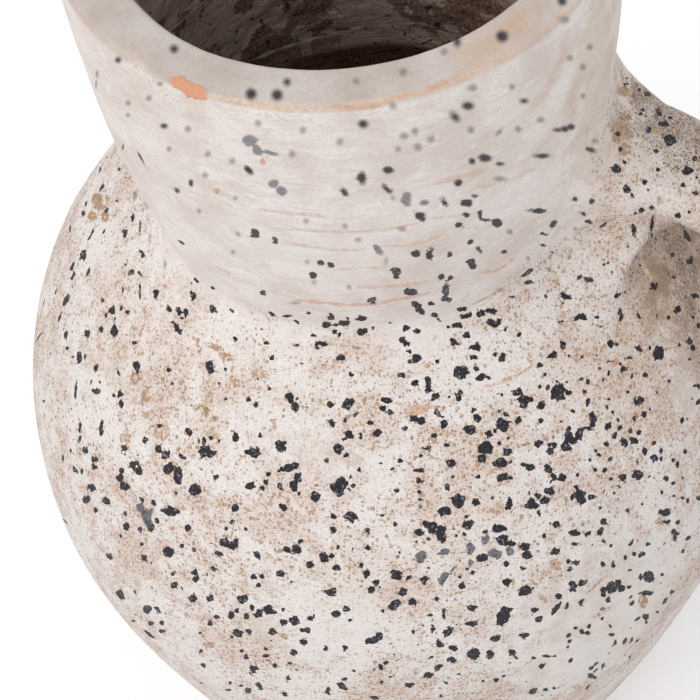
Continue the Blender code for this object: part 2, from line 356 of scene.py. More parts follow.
def jug_shell():
    """One closed grid for the whole jug, and the row at which each stretch of it starts."""
    stretches = (
        ("foot", foot_points()),
        ("lower", wall_points(outer_radius, BASE_THICKNESS, BELLY_JOINT, BELLY_STEP)),
        ("upper", wall_points(outer_radius, BELLY_JOINT, NECK_JOINT, BELLY_STEP)),
        ("neck", wall_points(outer_radius, NECK_JOINT, LIP_JOINT, NECK_STEP)),
        ("lip", lip_points()),
        ("neck_inside", wall_points(inner_radius, LIP_JOINT, NECK_JOINT, NECK_STEP)),
        ("upper_inside", wall_points(inner_radius, NECK_JOINT, BELLY_JOINT, HIDDEN_STEP)),
        ("lower_inside", wall_points(inner_radius, BELLY_JOINT, BASE_THICKNESS, HIDDEN_STEP)),
        ("floor", floor_points()),
    )
    rows = {}
    points = []
    for name, stretch in stretches:
        rows[name] = (len(points), len(points) + len(stretch) - 1)
        points += [tuple(point) for point in stretch[:-1]]
    points.append(tuple(stretches[-1][1][-1]))
    plain = turned_grid(np.array(points), COLUMNS)
    inside = inside_share(plain)
    inside[rows["lip"][1]:] = 1.0
    grid = plain + grid_normals(plain) * relief(plain, inside)[..., None]
    grid[..., :2] *= np.minimum(1, (BELLY_RADIUS - BOX_MARGIN) / from_axis(grid))[..., None]
    grid[..., 2] = np.clip(grid[..., 2], BOX_MARGIN, HEIGHT - BOX_MARGIN)
    return grid, grid_normals(grid), rows, inside


def inside_share(points):
    """0 over the outside and the rim's top, 1 from just inside the mouth."""
    edge = RIM_RADIUS - LIP_WIDTH
    above = points[..., 2] > LIP_JOINT
    return bump_step(-from_axis(points), -(edge + 0.5 * RIM_ROUNDING), -edge) * above


def ring_faces(row_starts, columns, closed):
    """Quads between rows of points, each row a ring."""
    starts = np.asarray(row_starts)
    lower = starts if closed else starts[:-1]
    upper = np.roll(starts, -1) if closed else starts[1:]
    near = np.arange(columns)
    far = (near + 1) % columns
    quads = [row[:, None] + side for row, side in ((lower, near), (lower, far), (upper, far), (upper, near))]
    return np.stack(quads, axis=-1).reshape(-1, 4)


class Piece:
    """One visible piece: its mesh data, and how far inside the jug each of its points lies."""

    def __init__(self, name, points, normals, faces, extra_faces=(), inside=None):
        self.name = name
        self.points = points
        self.normals = normals
        self.faces = faces
        self.extra_faces = list(extra_faces)
        corners = points[faces]
        self.centres = corners.mean(axis=1)
        cross = np.cross(corners[:, 2] - corners[:, 0], corners[:, 3] - corners[:, 1])
        self.areas = np.linalg.norm(cross, axis=1) / 2
        self.facing = cross / np.maximum(2 * self.areas, 1e-12)[:, None]
        self.inside = np.zeros(len(points)) if inside is None else inside


def picked_rows(rows, stretches):
    return [row for name in stretches for row in range(rows[name][0], rows[name][1] + 1)]


def shell_piece(name, shell, stretches):
    """A ring of the jug: these stretches of the shell, joined into one closed cross-section."""
    grid, normals, rows, inside = shell
    picked = picked_rows(rows, stretches)
    points = grid[picked].reshape(-1, 3)
    faces = ring_faces(np.arange(len(picked)) * COLUMNS, COLUMNS, closed=True)
    return Piece(name, points, normals[picked].reshape(-1, 3), faces, inside=inside[picked].ravel())


def foot_piece(name, shell, stretches):
    """The foot's disc: the ends of its rows close on two centre points."""
    grid, normals, rows, inside = shell
    picked = picked_rows(rows, stretches)
    points = grid[picked].reshape(-1, 3)
    count = len(points)
    last_row = count - COLUMNS
    under = points[:COLUMNS].mean(axis=0)
    over = points[last_row:].mean(axis=0)
    fans = []
    for i in range(COLUMNS):
        j = (i + 1) % COLUMNS
        fans.append((count, j, i))
        fans.append((count + 1, last_row + i, last_row + j))
    faces = ring_faces(np.arange(len(picked)) * COLUMNS, COLUMNS, closed=False)
    all_points = np.concatenate([points, [under, over]])
    all_normals = np.concatenate([normals[picked].reshape(-1, 3), [(0, 0, -1), (0, 0, 1)]])
    shares = np.concatenate([inside[picked].ravel(), [0.0, 1.0]])
    return Piece(name, all_points, all_normals, faces, fans, shares)


def bezier(start, first, second, end):
    t = np.linspace(0, 1, STRAP_SAMPLES)[:, None]
    return (1 - t) ** 3 * start + 3 * (1 - t) ** 2 * t * first + 3 * (1 - t) * t * t * second + t**3 * end


def handle_path():
    """The strap's centre line as (x, z) points at even steps, from the neck to the belly."""
    fall = np.array([math.cos(HANDLE_TOP_FALL), -math.sin(HANDLE_TOP_FALL)])
    back = np.array([-math.cos(HANDLE_BOTTOM_FALL), -math.sin(HANDLE_BOTTOM_FALL)])
    top = np.array([float(outer_radius(HANDLE_TOP_LEVEL)), HANDLE_TOP_LEVEL]) - fall * ROOT_DEPTH
    bottom = np.array([float(outer_radius(HANDLE_BOTTOM_LEVEL)), HANDLE_BOTTOM_LEVEL]) + back * ROOT_DEPTH
    outer = np.array([HANDLE_REACH, HANDLE_OUTER_LEVEL])
    up = np.array([0.0, 1.0])
    upper = bezier(top, top + fall * HANDLE_TOP_RUN, outer + up * HANDLE_UPPER_TURN, outer)
    lower = bezier(outer, outer - up * HANDLE_LOWER_TURN, bottom - back * HANDLE_BOTTOM_RUN, bottom)
    return even_points(np.concatenate([upper, lower[1:]]), STRAP_STEP)


def strap_grid(path):
    """Rings of the strap along the path, with their outward normals."""
    tangent = unit(np.gradient(path, axis=0))
    lengths = np.arange(len(path)) * STRAP_STEP
    reach = ROOT_DEPTH + LUTING_LENGTH
    spread = np.zeros(len(path))
    for distance in (lengths, lengths[-1] - lengths):
        spread += ROOT_SPREAD * (1 - np.clip(distance / reach, 0, 1)) ** 2
    half_width = HANDLE_WIDTH / 2 + spread
    angle = np.linspace(0, math.tau, STRAP_SIDES, endpoint=False)
    power = 2 / STRAP_SQUARENESS
    across = np.sign(np.cos(angle)) * np.abs(np.cos(angle)) ** power
    out = np.sign(np.sin(angle)) * np.abs(np.sin(angle)) ** power
    width = half_width[:, None] * across
    thick = HANDLE_THICKNESS / 2 * out
    x = path[:, 0][:, None] - tangent[:, 1][:, None] * thick
    z = path[:, 1][:, None] + tangent[:, 0][:, None] * thick
    grid = np.stack([x, width, z], axis=-1)
    return grid, grid_normals(grid)


def wall_direction(points):
    """The outer wall's normal at the level and angle of each point."""
    outward = points[..., :2] / from_axis(points)[..., None]
    return unit(np.concatenate([outward, -wall_slope(points[..., 2:])], axis=-1))


def outside_wall(points):
    """How far outside the outer wall each point lies, measured level."""
    return from_axis(points) - outer_radius(points[..., 2])


def onto_wall(points):
    """The points, moved level onto the outer wall."""
    outward = points[..., :2] / from_axis(points)[..., None]
    return np.concatenate([outward * outer_radius(points[..., 2:]), points[..., 2:]], axis=-1)


def round_strap(sides):
    """A value for each column of the strap, blended from those of its far, top, near and under sides.

    The eight values start at the far side and take in the corners between the sides.
    """
    place = np.linspace(0, len(sides), STRAP_SIDES, endpoint=False)
    side = place.astype(int)
    share = bump_step(place - side, 0, 1)
    sides = np.append(sides, sides[0])
    return (sides[side] * (1 - share) + sides[side + 1] * share)[:, None]


def luting_piece(name, grid, normals, along_strap, along_wall, fill):
    """Clay wiped into the corner between the strap and the wall: a fillet tangent to both.

    Its two lengths are in millimetres, and its fill goes from 0, hollow, to 1, a flat slope.
    """
    along_strap = round_strap(along_strap) * MM
    along_wall = round_strap(along_wall) * MM
    fill = round_strap(fill)
    outside = outside_wall(grid)
    first = np.argmax(outside > 0, axis=0)
    column = np.arange(STRAP_SIDES)
    before, after = outside[first - 1, column], outside[first, column]
    meeting_row = first - 1 + before / (before - after)

    def on_strap(rows):
        low = np.clip(np.floor(rows).astype(int), 0, len(grid) - 2)
        share = (rows - low)[:, None]
        point = grid[low, column] * (1 - share) + grid[low + 1, column] * share
        return point, normals[low, column]

    meeting, strap_normal = on_strap(meeting_row)
    start, start_normal = on_strap(meeting_row + along_strap[:, 0] / STRAP_STEP)
    wall_normal = wall_direction(meeting)
    away = unit(strap_normal - wall_normal * np.sum(strap_normal * wall_normal, axis=1, keepdims=True))
    end = onto_wall(meeting + away * along_wall)
    start = start - start_normal * EDGE_SINK
    end = end - wall_direction(end) * EDGE_SINK
    shares = np.linspace(0, 1, FILLET_STEPS + 1)
    pull = meeting * (1 - fill) + (start + end) / 2 * fill
    fillet = np.stack([(1 - t) ** 2 * start + 2 * t * (1 - t) * pull + t * t * end for t in shares])
    lift = np.clip(-outside_wall(fillet) - EDGE_SINK, 0, None)[..., None]
    wall_out = wall_direction(fillet)
    fillet = fillet + lift * wall_out * np.linalg.norm(wall_out[..., :2], axis=-1, keepdims=True)
    facing = grid_normals(fillet)
    faces_out = np.sum(facing[1] * strap_normal) > 0
    facing = facing if faces_out else -facing
    to_wall = (shares**3)[:, None, None]
    to_strap = ((1 - shares) ** 3)[:, None, None]
    facing = facing * (1 - to_wall - to_strap) + wall_direction(fillet) * to_wall
    facing = unit(facing + start_normal * to_strap)
    fillet = fillet + facing * relief(fillet)[..., None]
    buried = []
    for share in np.linspace(0, 1, BURIED_STEPS + 1)[1:]:
        on_wall = onto_wall(end + (meeting - end) * share)
        depth = EDGE_SINK + BURIED_DEPTH * share - relief(on_wall)
        buried.append(on_wall - wall_direction(on_wall) * depth[:, None])
    buried.append(meeting - BURIED_DEPTH * (strap_normal + wall_normal))
    points = np.concatenate([fillet.reshape(-1, 3)] + buried)
    all_normals = np.concatenate([facing.reshape(-1, 3)] + [wall_normal] * len(buried))
    ring_starts = np.arange(len(fillet) + len(buried)) * STRAP_SIDES
    faces = ring_faces(ring_starts, STRAP_SIDES, closed=True)
    return Piece(name, points, all_normals, faces if faces_out else faces[:, ::-1])


def strap_pieces():
    path = handle_path()
    grid, normals = strap_grid(path)
    end_rows = round((ROOT_DEPTH - STRAP_SINK) / STRAP_STEP)
    kept = slice(end_rows, len(grid) - end_rows)
    rough = grid[kept] + normals[kept] * relief(grid[kept])[..., None]
    smooth_normals = grid_normals(rough)
    count = rough.shape[0]
    points = rough.reshape(-1, 3)
    last_ring = range((count - 1) * STRAP_SIDES, count * STRAP_SIDES)
    caps = [tuple(reversed(range(STRAP_SIDES))), tuple(last_ring)]
    faces = ring_faces(np.arange(count) * STRAP_SIDES, STRAP_SIDES, closed=False)
    handle = Piece("handle_strap", points, smooth_normals.reshape(-1, 3), faces, caps)
    top = luting_piece("handle_top_fillet", grid, normals, *TOP_FILLET)
    bottom = luting_piece("handle_bottom_fillet", grid[::-1], normals[::-1], *BOTTOM_FILLET)
    return [handle, top, bottom]


def camera_rig():
    camera = bpy.data.objects.new("photo_camera", bpy.data.cameras.new("photo_camera"))
    bpy.context.scene.collection.objects.link(camera)
    camera.location = CAMERA_PLACE
    camera.rotation_euler = [math.radians(angle) for angle in CAMERA_DEGREES]
    camera.data.sensor_width = 36.0
    camera.data.lens = FOCAL_PIXELS * camera.data.sensor_width / FRAME_PIXELS
    bpy.context.scene.camera = camera
    bpy.context.view_layer.update()
    return camera


# Paint spots read from the photograph, in its pixels: x, y, half width, then half height and
# degrees of lean where they differ. The first two lists lie on the lip and the neck, where edges are soft.
SOFT_SPOTS = (
    (174, 49, 4), (118, 60, 3), (164, 126, 3.5, 2.5), (123, 147, 4, 1.5, 80), (141, 158, 6, 1.2, -60),
    (251, 94, 5.5), (277, 95, 5.5), (287, 82, 3.5), (249, 170, 5.5, 2.5, -45), (363, 124, 5, 4),
    (457, 41, 3.5, 5), (502, 36, 6), (468, 106, 6, 4), (455, 117, 5.5, 3.5, -45), (388, 170, 5, 3.5),
    (362, 178, 5, 6.5), (472, 161, 3.5), (500, 164, 4, 2), (485, 158, 7, 4), (524, 101, 4, 2.5),
    (562, 1, 4.5), (558, 130, 4, 2), (565, 129, 4, 3), (571, 127, 4, 3), (542, 156, 8, 2.5),
    (177, 190, 3, 2, -45), (191, 183, 2.2, 3), (181, 242, 3.5, 2, -45), (344, 192, 4.5, 3, -45),
    (255, 233, 4.5), (275, 240, 2.8), (321, 264, 4, 2.8), (330, 265, 4, 3), (313, 275, 4, 3.2, -45),
    (263, 293, 3), (387, 189, 5.5, 3, -45), (458, 183, 4.2, 3.5), (444, 202, 4.5, 3, -45),
    (466, 203, 6, 3.8), (475, 196, 4, 2), (537, 211, 8.5, 2.8), (420, 216, 6, 4, -45), (466, 215, 3.2, 2.2),
    (459, 225, 5, 2.8), (480, 214, 2.5, 3.5), (497, 223, 5, 4.5), (486, 220, 4, 1.5), (470, 241, 3, 2, 45),
    (479, 250, 3.2, 2, -45), (505, 252, 3.2, 2), (416, 254, 4.5, 3.2), (430, 254, 3.5, 5.5),
    (450, 255, 3, 2, 45), (472, 264, 6, 3.8, -45), (396, 272, 5, 5.5), (441, 277, 3, 2.5), (451, 278, 2.6),
    (446, 289, 3.8, 6.5), (447, 299, 5, 2.5), (411, 292, 7, 3.5), (372, 300, 5, 2.8),
    (527, 273, 5, 1.8, 45), (529, 282, 3.5, 2.2), (513, 297, 2.6, 1.5), (553, 224, 4.5, 3, 55),
    (589, 222, 3.2, 2), (603, 225, 5, 1.3, 30), (544, 234, 2.8, 1.6), (592, 201, 2.8), (580, 277, 4, 2, 45),
    (588, 279, 4.2, 3), (566, 296, 5.5, 2), (588, 149, 2), (592, 150, 2.5), (575, 199, 2.2),
    (584, 214, 1.8), (543, 245, 3, 1.3), (608, 263, 1.2), (612, 272, 1.2), (604, 265, 1.5, 2),
)
FAINT_SPOTS = (
    (97, 74, 2, 4), (96, 85, 2, 5), (160, 84, 2.5), (149, 98, 3), (128, 103, 2.5), (128, 115, 2),
    (169, 149, 2.5), (356, 81, 3), (258, 123, 3), (303, 130, 3), (188, 129, 3), (292, 154, 3.5),
    (340, 142, 3.5), (208, 154, 3), (232, 161, 3), (205, 175, 2.5), (444, 52, 3.5), (403, 72, 3.5),
    (473, 88, 4.5, 3.5), (471, 130, 3.5), (393, 106, 3.5), (404, 136, 4.5, 3.5), (415, 131, 3.5),
    (431, 139, 3.5), (418, 147, 4), (398, 149, 2.5), (512, 87, 3), (499, 132, 4, 2, 45), (518, 129, 3),
    (541, 120, 4, 3), (565, 20, 5, 3.5), (590, 47, 3), (570, 58, 3), (583, 67, 3), (583, 96, 2.5),
    (595, 141, 2.5), (147, 205, 3, 1.8, -45), (135, 195, 4, 2, 80), (199, 211, 2.4), (150, 237, 4, 1.3, 80),
    (165, 265, 4, 1.5, 80), (250, 172, 3), (345, 226, 2.5), (358, 240, 3.2, 2.2), (306, 221, 2.5),
    (235, 198, 2), (238, 234, 3, 1.8, -45), (233, 252, 2), (307, 262, 1.8), (349, 287, 2.8, 2, -45),
    (295, 303, 4, 1.2), (393, 198, 2), (500, 179, 6, 2.5), (402, 229, 4, 2.5), (510, 232, 3, 2.5),
    (528, 258, 1.8), (386, 261, 2.8, 1.5, 80), (501, 290, 2.2, 1.3), (575, 229, 1.8),
    (571, 251, 2, 1.2, 80), (314, 282, 2), (580, 212, 1.5),
)
CRISP_SPOTS = (
    # Left shoulder.
    (107, 157, 1.2), (100, 170, 3, 1.5, 80), (119, 169, 2, 1.4, 80), (102, 187, 5, 1.5, 60),
    (117, 201, 1.3), (86, 204, 3, 1.3, 80), (83, 213, 2.5, 2, 80), (107, 210, 2.5, 2, 80),
    (70, 229, 4, 1.2, 80), (133, 218, 4, 1.8, 80), (125, 233, 4, 3, 80), (140, 227, 5, 0.9, 85),
    (104, 232, 2.5, 1, 80), (91, 235, 6, 1.1, 65), (83, 255, 5, 3.5, 80), (143, 254, 4.5, 2.5, -50),
    (72, 267, 4.5, 1.5, 75), (88, 273, 4.5, 1.3, 60), (73, 276, 6, 1.3, 65), (131, 272, 4, 3, 80),
    (125, 265, 2.5, 1.5, 80), (140, 274, 3, 1.5, -60), (123, 289, 2.5, 1.3, 80), (140, 290, 8, 0.9, 88),
    (156, 294, 4.5, 3.5, 80), (193, 296, 3, 3.5), (196, 280, 2.3, 1.3, -45), (213, 288, 2, 1.5),
    (66, 300, 7, 2.3, 65), (60, 317, 5, 1.2, 70), (103, 301, 2.5, 1.5, 80), (113, 310, 3.3, 4),
    (121, 309, 2.5, 1.2, 80), (128, 312, 1.8, 2.2), (106, 315, 2, 1.2, 80), (115, 319, 3.5, 1.3, 80),
    (114, 331, 3.5, 5.5), (101, 329, 2.2, 3), (87, 333, 2.8, 3.6), (66, 335, 4, 1.8, 80),
    (38, 338, 6, 1.5, 60), (44, 302, 4, 0.8, 80), (169, 309, 4, 2, -60), (179, 312, 5, 3, -60),
    (182, 318, 2), (186, 311, 2.5, 6), (177, 328, 5.5, 3, -60), (135, 343, 2), (67, 348, 2),
    (213, 309, 4.5, 3, -50), (232, 311, 3, 1.6, -45), (271, 313, 3.2, 2, -45), (287, 316, 4, 1.2),
    (308, 313, 2.5, 1.5), (297, 322, 4, 1.8, -45), (262, 329, 1.5), (268, 343, 3, 2),
    (236, 339, 4, 1.5, -45), (297, 345, 2, 1.2), (317, 347, 2.3, 1.2, -45), (73, 357, 1.5, 1),
    (56, 292, 3, 1, 80),
    # Foot of the neck.
    (331, 317, 3), (327, 324, 5, 3.5), (335, 325, 3, 1.5), (344, 323, 5, 4), (348, 320, 2),
    (361, 318, 4.5, 3.5), (362, 331, 5, 3.2), (335, 332, 2.5), (340, 335, 2.5), (314, 335, 2.6, 1.8),
    (321, 343, 5, 2.5), (418, 308, 7, 3.8, -45), (432, 304, 3, 1.8), (435, 315, 4.8, 2.5, -45),
    (462, 309, 4.5, 2.5), (466, 316, 5.5, 3.5), (480, 313, 5, 3), (490, 311, 5.5, 3), (493, 323, 7.5, 3.5),
    (505, 330, 4, 1.8, 45), (457, 325, 4.3, 2.8), (448, 327, 1.8), (406, 328, 4, 3), (417, 331, 3.2, 2.3),
    (467, 335, 4, 3), (519, 335, 1.8), (405, 342, 6, 3.8, -45), (453, 341, 5.5, 2.8, -45), (475, 347, 6, 4),
    (373, 328, 1.5),
    # Belly, left.
    (79, 357, 6.3, 3, 80), (85, 356, 3, 1.2, 80), (96, 367, 4, 2, 80), (137, 367, 4, 6.3),
    (119, 374, 2.8, 1.5, -60), (91, 382, 2.8, 1, 80), (96, 391, 3.3, 2.8), (76, 390, 8, 1.2, 85),
    (120, 394, 2.3, 3.3), (114, 396, 1.6, 2), (121, 403, 2.6, 5), (44, 401, 1.8, 1.3), (169, 370, 2),
    (172, 383, 1.9), (101, 427, 8.7, 2, 85), (80, 428, 5.5, 1.5, 85), (80, 438, 4, 1.5, 80),
    (160, 425, 2.2), (145, 440, 2.7), (124, 448, 2.6, 3.2), (85, 450, 2.6, 3.7), (71, 451, 2, 1.2, 80),
    (63, 458, 3.7, 1.5, 80), (95, 460, 3, 3.5), (95, 467, 2.3, 3), (75, 470, 3.8, 2.2, -60),
    (82, 471, 1.8, 2.8), (134, 465, 4), (138, 471, 4), (159, 449, 3.6, 4.2), (166, 454, 4, 5),
    (169, 468, 5.5, 6), (178, 476, 5, 7.5), (182, 457, 4, 2.6, -45), (189, 431, 3.8, 3, -60),
    (122, 471, 2.3, 3), (120, 477, 4), (124, 486, 5, 4), (92, 488, 4.3, 4), (86, 499, 3.8, 4),
    (106, 501, 4, 3.3, -45), (96, 510, 1.8, 2.6), (125, 513, 2.8, 1.6, -60), (141, 499, 4, 1.8, -60),
    (154, 503, 2.6, 3), (176, 493, 1.5), (195, 490, 7, 6.3), (170, 511, 7.5, 4.5), (63, 519, 2),
    # Belly, middle left.
    (341, 358, 5, 3.5), (272, 358, 2, 2.5), (351, 375, 2.7), (210, 367, 4.5, 6), (225, 369, 3.5, 1.5, -70),
    (270, 389, 1.8), (226, 399, 1.6), (248, 399, 2, 2.3), (256, 404, 2.3, 3), (290, 398, 4.5),
    (297, 399, 2.2), (295, 407, 3.5, 4.5), (330, 405, 3.8, 3), (348, 404, 5.5, 6), (355, 415, 3.5, 1.8, 45),
    (345, 420, 1.8, 2.5), (332, 423, 4, 3.5, -60), (369, 422, 2.5), (349, 435, 4), (345, 439, 3, 1.8),
    (361, 435, 1.9, 4), (235, 436, 3.5, 4.5), (260, 436, 2.2), (280, 447, 5.5, 7), (255, 452, 7.5, 5.2),
    (247, 452, 2.5), (206, 452, 8.5, 6), (204, 442, 1.5, 4), (211, 438, 2), (199, 441, 1.2, 2.5),
    (219, 441, 1.7), (338, 449, 5, 5.5), (347, 455, 2.8, 1.8), (327, 460, 2.6), (359, 470, 2),
    (288, 468, 10, 4.5, 20), (298, 476, 4.5, 5.3), (294, 485, 4.3, 5.3), (268, 474, 2.5, 2),
    (250, 486, 4.6), (266, 483, 3.2, 3), (263, 488, 2.2, 3), (281, 487, 3.1), (340, 487, 10, 7, 55),
    (353, 486, 3), (349, 489, 2.3), (315, 497, 5, 5.8), (216, 478, 2.6, 3.2), (299, 494, 1.9),
    (235, 508, 3, 3.8), (283, 507, 3.6, 3), (333, 515, 3.3), (351, 517, 6.5, 5.5),
    # Belly, middle right.
    (410, 351, 3, 2), (416, 358, 4, 4.5), (410, 361, 3, 1.8), (437, 361, 2), (473, 357, 3.8, 2.5),
    (495, 355, 3, 2.6), (503, 357, 5, 3.6), (461, 372, 7.3), (477, 369, 3.3, 4.3), (482, 377, 5.5, 3.3),
    (489, 378, 2), (401, 375, 2.5, 1.5), (415, 382, 3.5, 2.3), (428, 380, 3.3, 3.8), (428, 389, 3, 3.3),
    (435, 397, 5.5, 3, 40), (459, 392, 4, 2.6, 40), (459, 399, 3), (388, 400, 5, 3.5), (383, 408, 3.5, 3),
    (389, 411, 4, 3, -50), (518, 392, 5, 3.8), (524, 401, 6), (531, 400, 2, 3), (473, 410, 3, 2.2, 50),
    (477, 419, 3.8, 4.6), (370, 422, 3), (379, 433, 4.7, 3.3), (415, 419, 4.8, 3.2), (422, 421, 4.5, 4),
    (439, 415, 5.5, 3.4, -45), (444, 424, 4.2), (405, 428, 2.5), (434, 436, 3, 2.3), (470, 429, 5.7, 4.5),
    (503, 425, 7, 6.5), (506, 415, 2.7), (501, 420, 3, 4), (495, 431, 2), (490, 435, 4.4),
    (519, 420, 3.5, 2.5, 50), (499, 411, 1.5), (446, 445, 3, 2.3), (428, 448, 3), (421, 455, 1.6, 2.2),
    (400, 461, 1.9), (380, 463, 2.3, 1.5), (420, 470, 4.7, 2.2), (452, 464, 5, 4.2), (485, 448, 7.5, 7),
    (482, 458, 5), (507, 452, 5, 4.5), (502, 463, 8, 5.5), (499, 443, 2.3), (509, 438, 1.8),
    (523, 465, 2, 1.6), (531, 467, 4.3, 3.3), (538, 444, 4, 3.8), (453, 477, 1.8), (478, 477, 1.9),
    (419, 481, 3.4), (502, 477, 6, 5), (509, 478, 3.5, 2.5), (398, 490, 3, 2.2), (447, 487, 3),
    (419, 492, 1.7), (420, 499, 2.5, 2), (458, 501, 6.8), (476, 502, 3.3), (510, 502, 4.3),
    (508, 508, 2.2, 1.4), (444, 512, 6, 5), (383, 515, 2.8, 1.8), (466, 517, 1.6), (393, 469, 1.4),
    (449, 397, 1.2), (502, 395, 1.4),
    # Belly, right.
    (563, 344, 4), (553, 356, 5, 4.2), (540, 366, 3.8, 3), (545, 375, 1.8), (611, 344, 3.7, 4.4),
    (616, 344, 2), (638, 348, 2, 3.3), (640, 351, 1.8), (650, 348, 1.6, 2.5), (659, 354, 6.3, 7),
    (689, 341, 3), (692, 348, 3), (680, 345, 1.6), (690, 359, 1.9, 1.4), (569, 356, 1.4),
    (582, 357, 1, 1.8), (628, 358, 2.8, 1.3), (609, 361, 3, 1.6), (623, 369, 3.8), (620, 364, 2),
    (609, 373, 1.2, 2.8), (632, 376, 1.3, 2.6), (645, 375, 2.8, 2.2, 50), (669, 381, 1.7), (582, 379, 2.1),
    (588, 381, 2.4), (603, 380, 1.2, 2), (584, 392, 2.2), (540, 387, 1.8), (548, 387, 3.5, 2, 55),
    (558, 392, 7.5, 9), (568, 393, 4, 3), (542, 405, 4.5, 4), (572, 411, 2.5), (588, 402, 2.8, 3.3),
    (609, 399, 2), (607, 407, 1.6, 2.7), (628, 392, 1.5), (657, 392, 1.4), (640, 401, 5, 4), (644, 415, 3),
    (542, 420, 2.8), (561, 422, 1.6), (593, 417, 4, 5.2), (593, 425, 2.5, 4), (589, 429, 2.5, 2),
    (613, 413, 1.6, 2.2), (618, 420, 1.6), (634, 420, 2.5, 3), (607, 426, 3.5), (620, 428, 2.2),
    (630, 431, 2), (639, 433, 2.6, 3.2), (569, 428, 3, 3.5), (581, 431, 5, 3.5, 60), (570, 438, 7, 6.5),
    (566, 446, 5), (577, 436, 5), (553, 444, 4.3, 3.3), (550, 452, 3.3), (614, 436, 3, 1.8, 60),
    (607, 444, 2.5), (624, 442, 4.3), (633, 440, 4.8, 3.2), (595, 450, 2.2), (600, 455, 2.5, 2),
    (611, 459, 2.1), (590, 460, 1.8), (645, 451, 4, 2.8, 60), (661, 451, 1.5, 2.6), (655, 459, 4.5, 3.5),
    (661, 459, 2, 2.5), (654, 443, 1.8, 2.2), (685, 452, 2), (674, 460, 2), (678, 465, 2, 2.9),
    (638, 463, 1.6, 2.3), (547, 468, 4.2, 4.8), (554, 477, 3), (562, 477, 4.6), (578, 475, 1.6),
    (595, 470, 1.9), (605, 470, 2.8, 2.5), (611, 479, 1.8), (623, 478, 3.2, 4.8), (638, 475, 5.3, 4.5),
    (635, 472, 2.3), (619, 486, 2.4, 1.8), (649, 477, 1.5), (666, 478, 2.3), (673, 483, 2.2),
    (662, 492, 1.8, 2.6), (683, 478, 1.5), (550, 491, 4.7, 3.8), (538, 497, 3.5), (544, 500, 5, 4),
    (532, 504, 5.8, 6.3), (539, 513, 2.5, 3), (576, 487, 2), (579, 496, 6.5), (573, 497, 3.5, 4),
    (591, 497, 3.5, 2.8), (583, 500, 4), (614, 493, 1.5), (600, 507, 1.8), (628, 511, 2.1), (642, 504, 1.6),
    (674, 496, 1.8, 1.2), (683, 498, 2, 1.5), (688, 501, 1.6, 2.2), (699, 498, 2.5), (665, 512, 5.5, 4.5),
    (682, 420, 1.7, 2.2), (699, 402, 3.3, 2.5), (697, 386, 3.5, 2.8),
    # Below the belly's widest level, left.
    (65, 521, 4.5, 1.8, -45), (126, 527, 3.3, 4), (121, 536, 2, 2.6), (151, 527, 3.5, 4.8), (157, 520, 3),
    (140, 530, 3, 2.5), (187, 527, 3.3), (182, 546, 1.9), (194, 550, 2.3), (168, 552, 5.6),
    (144, 558, 3.8, 2.8, -50), (142, 544, 1.5), (110, 557, 3.8, 3, -50), (173, 574, 2), (194, 573, 3.3),
    (195, 579, 3.2), (174, 585, 3), (213, 569, 2.3), (218, 553, 5, 3.3, -40), (225, 543, 4.5),
    (234, 545, 4.7, 5.3), (232, 522, 2.3), (226, 529, 2.2), (193, 598, 4, 5), (210, 598, 3.5),
    (242, 599, 5.2, 4.8), (94, 581, 3.5, 2.4), (121, 595, 6, 4.2, -50), (135, 592, 2.6, 1.6, -70),
    (147, 609, 4.3), (158, 610, 3.5, 2.5, -45), (231, 615, 3.7), (237, 611, 2.4), (217, 617, 2.4, 1.8),
    (210, 624, 2.7), (200, 633, 1.6), (133, 621, 2.8, 1.3), (151, 623, 3.3, 2.3), (162, 623, 2.9, 2.5),
    (149, 634, 7, 2, -40), (162, 631, 3.5, 2), (201, 651, 1.7), (203, 665, 3, 1.8, -40),
    (201, 683, 2.5, 1.3), (258, 556, 4.8, 2.4, -55), (253, 576, 3), (262, 577, 2.5), (259, 585, 2),
    (280, 574, 3.8), (291, 582, 1.5), (246, 529, 1.4), (296, 550, 4.8), (287, 550, 4, 2.6, -25),
    (300, 541, 2.3), (333, 530, 4.3, 3.5), (368, 531, 3), (368, 547, 2.3), (338, 548, 2.3), (324, 558, 5.2),
    (331, 556, 3.3), (310, 565, 4.2, 3.7), (336, 568, 3), (361, 566, 2.5), (366, 573, 3.9, 4.7),
    (376, 583, 2.7), (371, 590, 3), (330, 592, 6, 4.2), (252, 608, 2, 2.5), (246, 616, 3, 3.4),
    (259, 613, 5.5, 3.5, 30), (268, 609, 5.5, 4.7), (273, 611, 3), (283, 610, 2.8, 2), (284, 623, 3.5, 2.7),
    (294, 621, 4.6), (310, 618, 2.6), (314, 616, 1.6), (336, 615, 4, 3.6), (346, 609, 3.4), (350, 620, 2.1),
    (302, 631, 2.8), (307, 630, 3), (272, 632, 3.8, 3.3, -45), (238, 633, 4.5, 3.5, -45),
    (249, 632, 3.8, 2.2, -45), (232, 637, 1.6), (303, 642, 3.3, 4), (326, 648, 2.3, 2.5), (345, 648, 2.3),
    (266, 649, 2.3, 1.5), (241, 651, 2.7, 1.8), (246, 657, 2.7, 2.3), (266, 656, 3.6, 1.8),
    (294, 653, 3.4, 2.9), (290, 663, 1.8, 1.2), (275, 665, 1.8), (254, 669, 5.5, 3.6, 50),
    (288, 679, 2.5, 2.7), (259, 686, 4, 2.5, -40), (248, 691, 3.6, 3), (241, 686, 2.3, 1.1),
    (230, 683, 1.6), (228, 690, 2.7, 1.3), (285, 694, 3.2, 2.1, -40),
    # Below the belly's widest level, middle.
    (395, 524, 2.3), (419, 533, 4.5, 3.5), (425, 523, 4), (432, 527, 4.5, 5.5), (441, 533, 5.5, 6),
    (443, 540, 2.8, 3.5), (427, 539, 3, 1.8), (455, 529, 2.7, 1), (464, 534, 2.5), (468, 525, 5.7, 5),
